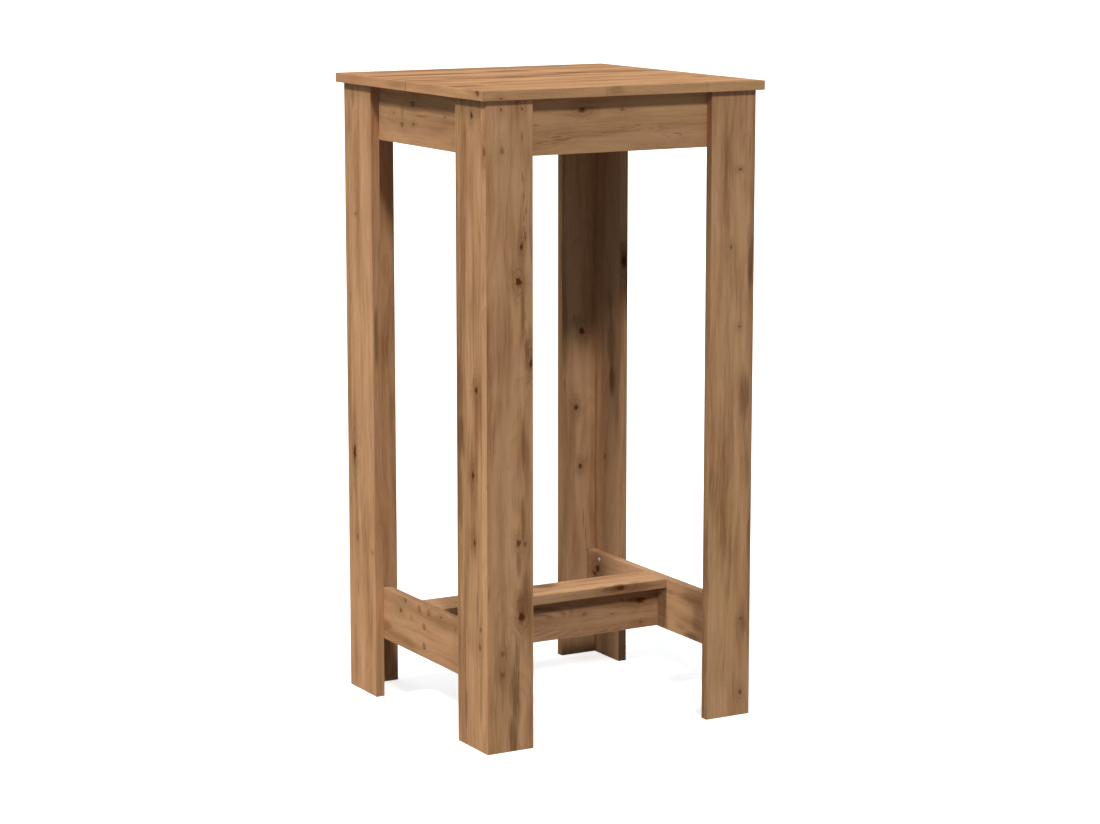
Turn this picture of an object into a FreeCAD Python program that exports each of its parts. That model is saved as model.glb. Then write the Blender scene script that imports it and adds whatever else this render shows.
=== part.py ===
import FreeCAD, Part
import os

# A bar table made of flat faced boards: a square top on four L-shaped legs,
# an apron under the top, and a low stretcher on each side with a T-shaped
# footrest between the two. Every visible board edge carries a glued edge band.
# Millimetres. X runs left to right, Y runs front to back and Z points up.
# The origin lies on the floor under the middle of the top.

V = FreeCAD.Vector

# Top
table_height = 1020
top_width = 500
top_depth = 500
top_thickness = 15
top_overhang = 10

# Legs: a face board seen from the front or back, and a side board behind its edge
leg_board_thickness = 15
face_board_width = 81
side_board_width = 81

# Apron
apron_thickness = 15
apron_height = 87

# Side stretchers
stretcher_thickness = 15
stretcher_height = 86
stretcher_floor_gap = 98

# Footrest: a flat board on a rail that stands on edge
footrest_thickness = 15
footrest_width = 70
rail_thickness = 15
rail_height = 70

# Edge bands
band_thickness = 1
band_rounding = 0.5
rounding_limit_share = 0.8

# Wooden dowels
dowel_diameter = 8
dowel_length = 30
dowel_chamfer = 1
dowel_cover = 4
leg_dowel_height_shares = (0.05, 0.32, 0.50, 0.68, 0.85)
top_dowel_share = 0.36
footrest_dowel_shares = (-0.3, 0, 0.3)

# Cam locks and their bolts
cam_diameter = 15
cam_cover = 3
cam_setback = 24
cam_sink = 0.2
cam_slot_length = 9
cam_slot_width = 1.6
cam_slot_depth = 2
bolt_thread_diameter = 6
bolt_cover = 4
bolt_shank_diameter = 5
bolt_head_diameter = 6.5
bolt_head_length = 3
bolt_bore_diameter = 8
bolt_head_play = 0.2
top_cam_share = 0.25

# Countersunk screws that hold the aprons and stretchers to the legs
screw_diameter = 3.5
screw_head_diameter = 7
screw_head_height = 2.2
screw_point_length = 4
screw_cover = 5
screw_edge_inset = 10
screw_recess_length = 4
screw_recess_width = 1
screw_recess_depth = 1.4

# Joint screws through the stretchers into the ends of the footrest, with caps
joint_screw_shank_diameter = 7
joint_screw_thread_diameter = 6.3
joint_screw_head_diameter = 10
joint_screw_head_height = 3
joint_screw_reach = 35
joint_screw_inset = 19
socket_width = 4
socket_depth = 3
cap_diameter = 12
cap_thickness = 1
cap_rounding = 0.6
cap_stem_diameter = 3.6
cap_stem_length = 2.5

# Room round every fastener and at the blind end of its hole
hole_clearance = 0.1

# Places worked out from the sizes above
leg_x = top_width / 2 - top_overhang
leg_y = top_depth / 2 - top_overhang
side_inner_x = leg_x - leg_board_thickness
face_inner_y = leg_y - leg_board_thickness
apron_inner_x = side_inner_x - apron_thickness
apron_inner_y = face_inner_y - apron_thickness
stretcher_inner_x = side_inner_x - stretcher_thickness
leg_top = table_height - top_thickness
apron_bottom = leg_top - apron_height
apron_middle = leg_top - apron_height / 2
stretcher_top = stretcher_floor_gap + stretcher_height
stretcher_middle = stretcher_floor_gap + stretcher_height / 2
rail_top = stretcher_top - footrest_thickness
rail_bottom = rail_top - rail_height
side_board_middle_y = face_inner_y - side_board_width / 2
face_overlap_middle_x = (apron_inner_x + leg_x - face_board_width) / 2

SIDES = ((-1, "left"), (1, "right"))
ENDS = ((-1, "front"), (1, "back"))
ALONG_X = V(1, 0, 0)
ALONG_Y = V(0, 1, 0)
UP = V(0, 0, 1)


def block(corner, opposite):
    """A block between two opposite corners, given in any order."""
    low = [min(a, b) for a, b in zip(corner, opposite)]
    high = [max(a, b) for a, b in zip(corner, opposite)]
    return Part.makeBox(*[b - a for a, b in zip(low, high)], V(*low))


def rod(start, direction, diameter, length):
    return Part.makeCylinder(diameter / 2, length, start, direction)


def placed(shape, point, direction):
    """A copy of a shape made along Z, turned to a direction and moved to a point."""
    copy = shape.copy()
    copy.Placement = FreeCAD.Placement(point, FreeCAD.Rotation(UP, direction))
    return copy


def edge_band(low, high, axis, side):
    """A strip glued to a board's edge, with its two long outer corners rounded."""
    strip = block(low, high)
    outer = high[axis] if side > 0 else low[axis]
    spans = [b - a for a, b in zip(low, high)]
    long_axis = spans.index(max(spans))
    rims = []
    for edge in strip.Edges:
        first, last = (vertex.Point for vertex in edge.Vertexes)
        on_outer_face = abs((first[axis] + last[axis]) / 2 - outer) < band_thickness / 4
        runs_along = abs(last[long_axis] - first[long_axis]) > max(spans) / 2
        if on_outer_face and runs_along:
            rims.append(edge)
    return strip.makeFillet(min(band_rounding, rounding_limit_share * band_thickness), rims)


class Board:
    """A board of the stated outer size, its edge bands and its drilled holes."""

    def __init__(self, corner, opposite, thickness, banded=()):
        """banded lists the edges with a band, each as its axis and its side of that axis."""
        self.thickness = thickness
        self.bands = []
        low = [min(a, b) for a, b in zip(corner, opposite)]
        high = [max(a, b) for a, b in zip(corner, opposite)]
        for axis, side in banded:
            strip_low = list(low)
            strip_high = list(high)
            if side < 0:
                low[axis] += band_thickness
                strip_high[axis] = low[axis]
            else:
                high[axis] -= band_thickness
                strip_low[axis] = high[axis]
            self.bands.append(edge_band(strip_low, strip_high, axis, side))
        self.solid = block(low, high)

    def drill(self, start, direction, diameter, depth):
        hole = rod(start, direction, diameter + 2 * hole_clearance, depth + hole_clearance)
        self.solid = self.solid.cut(hole)

    def cut(self, shape):
        self.solid = self.solid.cut(shape)


def dowel_joint(edge_board, face_board, seam, into_edge):
    """A dowel across a seam: blind in the face of one board and in the edge of the other."""
    face_depth = face_board.thickness - dowel_cover
    face_board.drill(seam, -into_edge, dowel_diameter, face_depth)
    edge_board.drill(seam, into_edge, dowel_diameter, dowel_length - face_depth)
    dowel = rod(V(), UP, dowel_diameter, dowel_length)
    rims = [edge for edge in dowel.Edges if edge.isClosed()]
    return placed(dowel.makeChamfer(dowel_chamfer, rims), seam - into_edge * face_depth, into_edge)


def cam_joint(edge_board, face_board, seam, into_edge, inner):
    """A bolt in one board's face, and the cam lock in the other's inner face that pulls on it."""
    thread_length = face_board.thickness - bolt_cover
    face_board.drill(seam, -into_edge, bolt_thread_diameter, thread_length)
    edge_board.drill(seam, into_edge, bolt_bore_diameter, cam_setback)
    thread = rod(seam, -into_edge, bolt_thread_diameter, thread_length)
    shank = rod(seam, into_edge, bolt_shank_diameter, cam_setback - bolt_head_length / 2)
    head_start = seam + into_edge * (cam_setback - bolt_head_length)
    head = rod(head_start, into_edge, bolt_head_diameter, bolt_head_length)
    bolt = thread.fuse([shank, head]).removeSplitter()

    recess_depth = edge_board.thickness - cam_cover
    mouth = seam + into_edge * cam_setback + inner * (edge_board.thickness / 2)
    edge_board.drill(mouth, -inner, cam_diameter, recess_depth)
    cam = rod(mouth - inner * cam_sink, -inner, cam_diameter, recess_depth - cam_sink)
    pocket = rod(seam, into_edge, bolt_head_diameter + 2 * bolt_head_play, cam_setback + bolt_head_play)
    across = inner.cross(into_edge)
    slots = []
    for along, sideways in ((into_edge, across), (across, into_edge)):
        reach = along * (cam_slot_length / 2) + sideways * (cam_slot_width / 2)
        slots.append(block(mouth - reach, mouth + reach - inner * (cam_sink + cam_slot_depth)))
    return cam.cut([pocket] + slots), bolt


def screw():
    """A countersunk wood screw: head at the origin, point along Z, cross recess in the head."""
    length = apron_thickness + leg_board_thickness - screw_cover
    head = Part.makeCone(screw_head_diameter / 2, screw_diameter / 2, screw_head_height)
    shank = rod(V(), UP, screw_diameter, length - screw_point_length)
    point = Part.makeCone(screw_diameter / 2, 0, screw_point_length, UP * (length - screw_point_length))
    long_half = screw_recess_length / 2
    short_half = screw_recess_width / 2
    recess = [
        block(V(-a, -b, 0), V(a, b, screw_recess_depth))
        for a, b in ((long_half, short_half), (short_half, long_half))
    ]
    return head.fuse([shank, point]).cut(recess).removeSplitter()


def screw_joint(near_board, far_board, start, direction):
    """A countersunk screw through the near board into the far one, flush with the near board's face."""
    sink = Part.makeCone(
        screw_head_diameter / 2 + hole_clearance, screw_diameter / 2 + hole_clearance, screw_head_height
    )
    near_board.cut(placed(sink, start, direction))
    near_board.drill(start, direction, screw_diameter, near_board.thickness)
    far_depth = apron_thickness + leg_board_thickness - screw_cover - near_board.thickness
    far_board.drill(start + direction * near_board.thickness, direction, screw_diameter, far_depth)
    return placed(screw(), start, direction)


def joint_screw():
    """A joint screw: conical head at the origin, plain shank, thread along Z, hexagonal socket."""
    head = Part.makeCone(
        joint_screw_head_diameter / 2, joint_screw_shank_diameter / 2, joint_screw_head_height
    )
    shank = rod(V(), UP, joint_screw_shank_diameter, stretcher_thickness)
    thread = rod(UP * stretcher_thickness, UP, joint_screw_thread_diameter, joint_screw_reach)
    corner = V(socket_width / 3 ** 0.5, 0, 0)
    corners = [FreeCAD.Rotation(UP, 60 * i).multVec(corner) for i in range(7)]
    socket = Part.Face(Part.makePolygon(corners)).extrude(UP * socket_depth)
    return head.fuse([shank, thread]).removeSplitter().cut(socket)


def screw_cap():
    """A cap that covers a joint screw: a low disc above the origin with a stem in the socket below."""
    disc = rod(V(), UP, cap_diameter, cap_thickness)
    rim = [edge for edge in disc.Edges if edge.isClosed() and edge.CenterOfMass.z > 0]
    rounding = min(cap_rounding, rounding_limit_share * cap_thickness)
    stem = rod(V(), -UP, cap_stem_diameter, cap_stem_length)
    return disc.makeFillet(rounding, rim).fuse(stem)


def capped_joint(stretcher, end_board, start, inward):
    """A joint screw through a stretcher into the end of a footrest board, with its cap."""
    sink = Part.makeCone(
        joint_screw_head_diameter / 2 + hole_clearance,
        joint_screw_shank_diameter / 2 + hole_clearance,
        joint_screw_head_height,
    )
    stretcher.cut(placed(sink, start, inward))
    stretcher.drill(start, inward, joint_screw_shank_diameter, stretcher_thickness)
    seam = start + inward * stretcher_thickness
    end_board.drill(seam, inward, joint_screw_thread_diameter, joint_screw_reach)
    return placed(joint_screw(), start, inward), placed(screw_cap(), start, -inward)


def make_boards():
    """Every board, by name, in its place."""
    boards = {
        "table_top": Board(
            (-top_width / 2, -top_depth / 2, leg_top),
            (top_width / 2, top_depth / 2, table_height),
            top_thickness,
            banded=((0, -1), (0, 1), (1, -1), (1, 1)),
        ),
        "footrest_board": Board(
            (-stretcher_inner_x, -footrest_width / 2, rail_top),
            (stretcher_inner_x, footrest_width / 2, stretcher_top),
            footrest_thickness,
            banded=((1, -1), (1, 1)),
        ),
        "footrest_rail": Board(
            (-stretcher_inner_x, -rail_thickness / 2, rail_bottom),
            (stretcher_inner_x, rail_thickness / 2, rail_top),
            rail_thickness,
            banded=((2, -1),),
        ),
    }
    for sx, side in SIDES:
        boards[f"{side}_apron"] = Board(
            (sx * side_inner_x, -face_inner_y, apron_bottom),
            (sx * apron_inner_x, face_inner_y, leg_top),
            apron_thickness,
            banded=((2, -1),),
        )
        boards[f"{side}_stretcher"] = Board(
            (sx * side_inner_x, -face_inner_y, stretcher_floor_gap),
            (sx * stretcher_inner_x, face_inner_y, stretcher_top),
            stretcher_thickness,
            banded=((2, -1), (2, 1)),
        )
    for sy, end in ENDS:
        boards[f"{end}_apron"] = Board(
            (-apron_inner_x, sy * face_inner_y, apron_bottom),
            (apron_inner_x, sy * apron_inner_y, leg_top),
            apron_thickness,
            banded=((2, -1),),
        )
        for sx, side in SIDES:
            boards[f"{end}_{side}_leg_face_board"] = Board(
                (sx * leg_x, sy * leg_y, 0),
                (sx * (leg_x - face_board_width), sy * face_inner_y, leg_top),
                leg_board_thickness,
                banded=((0, -1), (0, 1)),
            )
            boards[f"{end}_{side}_leg_side_board"] = Board(
                (sx * leg_x, sy * face_inner_y, 0),
                (sx * side_inner_x, sy * (face_inner_y - side_board_width), leg_top),
                leg_board_thickness,
                banded=((1, -sy),),
            )
    return boards


def join_legs(boards, fittings):
    """Pairs each leg's two boards with dowels, and with cams where apron and stretcher hide them."""
    for sy, end in ENDS:
        for sx, side in SIDES:
            face_board = boards[f"{end}_{side}_leg_face_board"]
            side_board = boards[f"{end}_{side}_leg_side_board"]
            foot = V(sx * (leg_x - leg_board_thickness / 2), sy * face_inner_y, 0)
            into_edge = ALONG_Y * -sy
            for share in leg_dowel_height_shares:
                seam = foot + UP * (share * leg_top)
                fittings["leg_dowels"].append(dowel_joint(side_board, face_board, seam, into_edge))
            for height in (stretcher_middle, apron_middle):
                seam = foot + UP * height
                cam, bolt = cam_joint(side_board, face_board, seam, into_edge, ALONG_X * -sx)
                fittings["leg_cam_locks"].append(cam)
                fittings["leg_cam_bolts"].append(bolt)


def join_apron_to_top(boards, fittings):
    """Two cams and two dowels hold each apron board to the underside of the top."""
    runs = [
        (f"{side}_apron", V(sx * (side_inner_x - apron_thickness / 2), 0, leg_top),
         ALONG_Y * (2 * face_inner_y), ALONG_X * -sx)
        for sx, side in SIDES
    ]
    runs += [
        (f"{end}_apron", V(0, sy * (face_inner_y - apron_thickness / 2), leg_top),
         ALONG_X * (2 * apron_inner_x), ALONG_Y * -sy)
        for sy, end in ENDS
    ]
    for name, middle, span, inner in runs:
        for hand in (-1, 1):
            seam = middle + span * (hand * top_cam_share)
            cam, bolt = cam_joint(boards[name], boards["table_top"], seam, -UP, inner)
            fittings["top_cam_locks"].append(cam)
            fittings["top_cam_bolts"].append(bolt)
            seam = middle + span * (hand * top_dowel_share)
            fittings["top_dowels"].append(dowel_joint(boards[name], boards["table_top"], seam, -UP))


def screw_rails_to_legs(boards, fittings):
    """Two screws at each end of every apron board and stretcher, driven from inside."""
    apron_heights = (apron_bottom + screw_edge_inset, leg_top - screw_edge_inset)
    stretcher_heights = (stretcher_floor_gap + screw_edge_inset, stretcher_top - screw_edge_inset)
    for sy, end in ENDS:
        for sx, side in SIDES:
            face_board = boards[f"{end}_{side}_leg_face_board"]
            side_board = boards[f"{end}_{side}_leg_side_board"]
            for height in apron_heights:
                start = V(sx * apron_inner_x, sy * side_board_middle_y, height)
                joined = screw_joint(boards[f"{side}_apron"], side_board, start, ALONG_X * sx)
                fittings["apron_screws"].append(joined)
                start = V(sx * face_overlap_middle_x, sy * apron_inner_y, height)
                joined = screw_joint(boards[f"{end}_apron"], face_board, start, ALONG_Y * sy)
                fittings["apron_screws"].append(joined)
            for height in stretcher_heights:
                start = V(sx * stretcher_inner_x, sy * side_board_middle_y, height)
                joined = screw_joint(boards[f"{side}_stretcher"], side_board, start, ALONG_X * sx)
                fittings["stretcher_screws"].append(joined)


def join_footrest(boards, fittings):
    """Joint screws hold the footrest between the stretchers, and dowels hold its board on its rail."""
    board = boards["footrest_board"]
    rail = boards["footrest_rail"]
    board_y = footrest_width / 2 - joint_screw_inset
    board_z = stretcher_top - footrest_thickness / 2
    places = [(board, V(0, y, board_z)) for y in (-board_y, board_y)]
    places += [(rail, V(0, 0, z)) for z in (rail_bottom + joint_screw_inset, rail_top - joint_screw_inset)]
    for sx, side in SIDES:
        for end_board, place in places:
            start = place + ALONG_X * (sx * side_inner_x)
            fastener, cap = capped_joint(boards[f"{side}_stretcher"], end_board, start, ALONG_X * -sx)
            fittings["footrest_screws"].append(fastener)
            fittings["footrest_screw_caps"].append(cap)
    for share in footrest_dowel_shares:
        seam = V(share * 2 * stretcher_inner_x, 0, rail_top)
        fittings["footrest_dowels"].append(dowel_joint(rail, board, seam, -UP))


def band_groups(boards):
    """The edge bands, grouped by the piece of furniture that they edge."""
    groups = {
        "top_edge_bands": ["table_top"],
        "apron_edge_bands": [name for name in boards if name.endswith("apron")],
        "stretcher_edge_bands": [name for name in boards if name.endswith("stretcher")],
        "footrest_edge_bands": ["footrest_board", "footrest_rail"],
    }
    for _, end in ENDS:
        for _, side in SIDES:
            leg = f"{end}_{side}_leg"
            groups[f"{leg}_edge_bands"] = [name for name in boards if name.startswith(leg)]
    return {name: [band for member in members for band in boards[member].bands]
            for name, members in groups.items()}


def main():
    boards = make_boards()
    fittings = {name: [] for name in (
        "leg_dowels", "leg_cam_locks", "leg_cam_bolts",
        "top_dowels", "top_cam_locks", "top_cam_bolts",
        "apron_screws", "stretcher_screws",
        "footrest_screws", "footrest_screw_caps", "footrest_dowels",
    )}
    join_legs(boards, fittings)
    join_apron_to_top(boards, fittings)
    screw_rails_to_legs(boards, fittings)
    join_footrest(boards, fittings)

    os.makedirs("parts", exist_ok=True)
    for name, board in boards.items():
        board.solid.exportStep(f"parts/{name}.step")
    for name, solids in {**band_groups(boards), **fittings}.items():
        Part.makeCompound(solids).exportStep(f"parts/{name}.step")


main()
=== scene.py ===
"""Finishes a bar table of oak-faced boards and sets a plain studio round it.

The frame's lengths are metres. The wood's figure is worked out in millimetres of board.
"""

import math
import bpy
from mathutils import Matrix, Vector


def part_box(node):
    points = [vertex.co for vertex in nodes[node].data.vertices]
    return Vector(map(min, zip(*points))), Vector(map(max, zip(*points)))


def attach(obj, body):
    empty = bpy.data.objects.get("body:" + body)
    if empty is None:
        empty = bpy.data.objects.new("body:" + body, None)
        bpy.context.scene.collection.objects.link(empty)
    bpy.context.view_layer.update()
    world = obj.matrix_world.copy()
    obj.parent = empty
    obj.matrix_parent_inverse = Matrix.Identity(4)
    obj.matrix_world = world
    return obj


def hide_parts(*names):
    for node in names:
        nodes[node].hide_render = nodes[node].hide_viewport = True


bl_info = {
    "name": "Bar table finish",
    "version": (1, 0, 0),
    "blender": (4, 5, 0),
    "location": "3D View > Sidebar > Bar table",
    "description": "Finishes a bar table of oak-faced boards and sets a plain studio round it",
    "category": "Object",
}

from collections import namedtuple
from functools import reduce

import bpy
import numpy as np
from bpy.props import FloatProperty, FloatVectorProperty, IntProperty, PointerProperty

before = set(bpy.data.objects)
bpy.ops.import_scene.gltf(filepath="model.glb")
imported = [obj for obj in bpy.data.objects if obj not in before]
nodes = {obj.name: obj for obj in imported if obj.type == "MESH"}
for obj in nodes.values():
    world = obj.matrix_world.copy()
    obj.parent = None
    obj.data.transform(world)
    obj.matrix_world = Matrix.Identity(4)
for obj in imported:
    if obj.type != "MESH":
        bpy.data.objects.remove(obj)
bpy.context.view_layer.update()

MILLIMETRE = 0.001
X, Y, Z = 0, 1, 2

# How strongly the wood and the plastic mirror light at their surface.
WOOD_GLOSS = 0.015
PLASTIC_GLOSS = 0.04

# How far apart in the noise a board's two faces are, so that their figures differ.
OTHER_FACE = 50.0

# How many columns go round a fitting, and the angle past which its edges are sharp.
COLUMNS_PER_FLUTE = 5
BOLT_COLUMNS = 32
SCREW_COLUMNS = 36
JOINT_SCREW_COLUMNS = 48
CAP_COLUMNS = 60
SHARP_ANGLE = math.radians(35)

# Places on a board, in millimetres along and across its grain, in the frame's own X, Y and Z.
# A knot's width is half its dark core, and its stretch is how many times longer than wide it is.
# A streak or a patch of checks has half its length and half its width. Dark is a mark's strength, 0 to 1.
# Most streaks are dark figure in the wood; a few are painted shade, marked where they stand.
Knot = namedtuple("Knot", "along across width stretch dark", defaults=(1.6, 1.0))
Streak = namedtuple("Streak", "along across length width dark", defaults=(0.6,))
Checks = namedtuple("Checks", "along across length width dark", defaults=(0.5,))

# How a board's figure lies. Its grain, width and thickness are axes, and its marks are on the face at the
# high end of its thickness, 1, or at the low end, -1. The seed picks its pattern and the tone multiplies
# its colour; on a few boards and bands the tone is also painted light and shade, marked where they stand.
# Figure and rings are the strengths of its bands and of its growth rings. The heart is where the rings'
# middle passes, and the slope tilts it so that the rings make arches.
Board = namedtuple("Board", "grain width thickness face seed tone figure rings heart slope marks")

# A band is a thin strip. Past its turn, a place along its grain, it goes round a corner and its grain
# with it. Its marks' place across is the sum of its two other axes, and past the turn this much more.
Band = namedtuple("Band", "grain turn seed tone figure rings heart slope marks")
ROUND_THE_CORNER = 100.0

# The turn of a band that goes round no corner: it is past the band's end.
NO_TURN = 2000

# A distant lamp: the setting that holds its light, the heading it shines from (0 is the front and 90 the
# right), its height over the horizon and the width of its face in the sky, all in degrees.
Lamp = namedtuple("Lamp", "name light heading height width")
LAMPS = (
    Lamp("left lamp", "left_light", -90.5, 50, 10),
    Lamp("front lamp", "front_light", -18, 38.5, 7),
    Lamp("right rear lamp", "rear_light", 110, 14, 30),
    Lamp("left rear lamp", "rear_light", 190, 14, 30),
)


def linear(red, green, blue):
    """A screen colour, 0 to 255, as linear light, 0 to 1, by the screen's own curve."""
    shares = np.array((red, green, blue)) / 255
    light = np.where(shares <= 0.04045, shares / 12.92, ((shares + 0.055) / 1.055) ** 2.4)
    return tuple(light.tolist())


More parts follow.
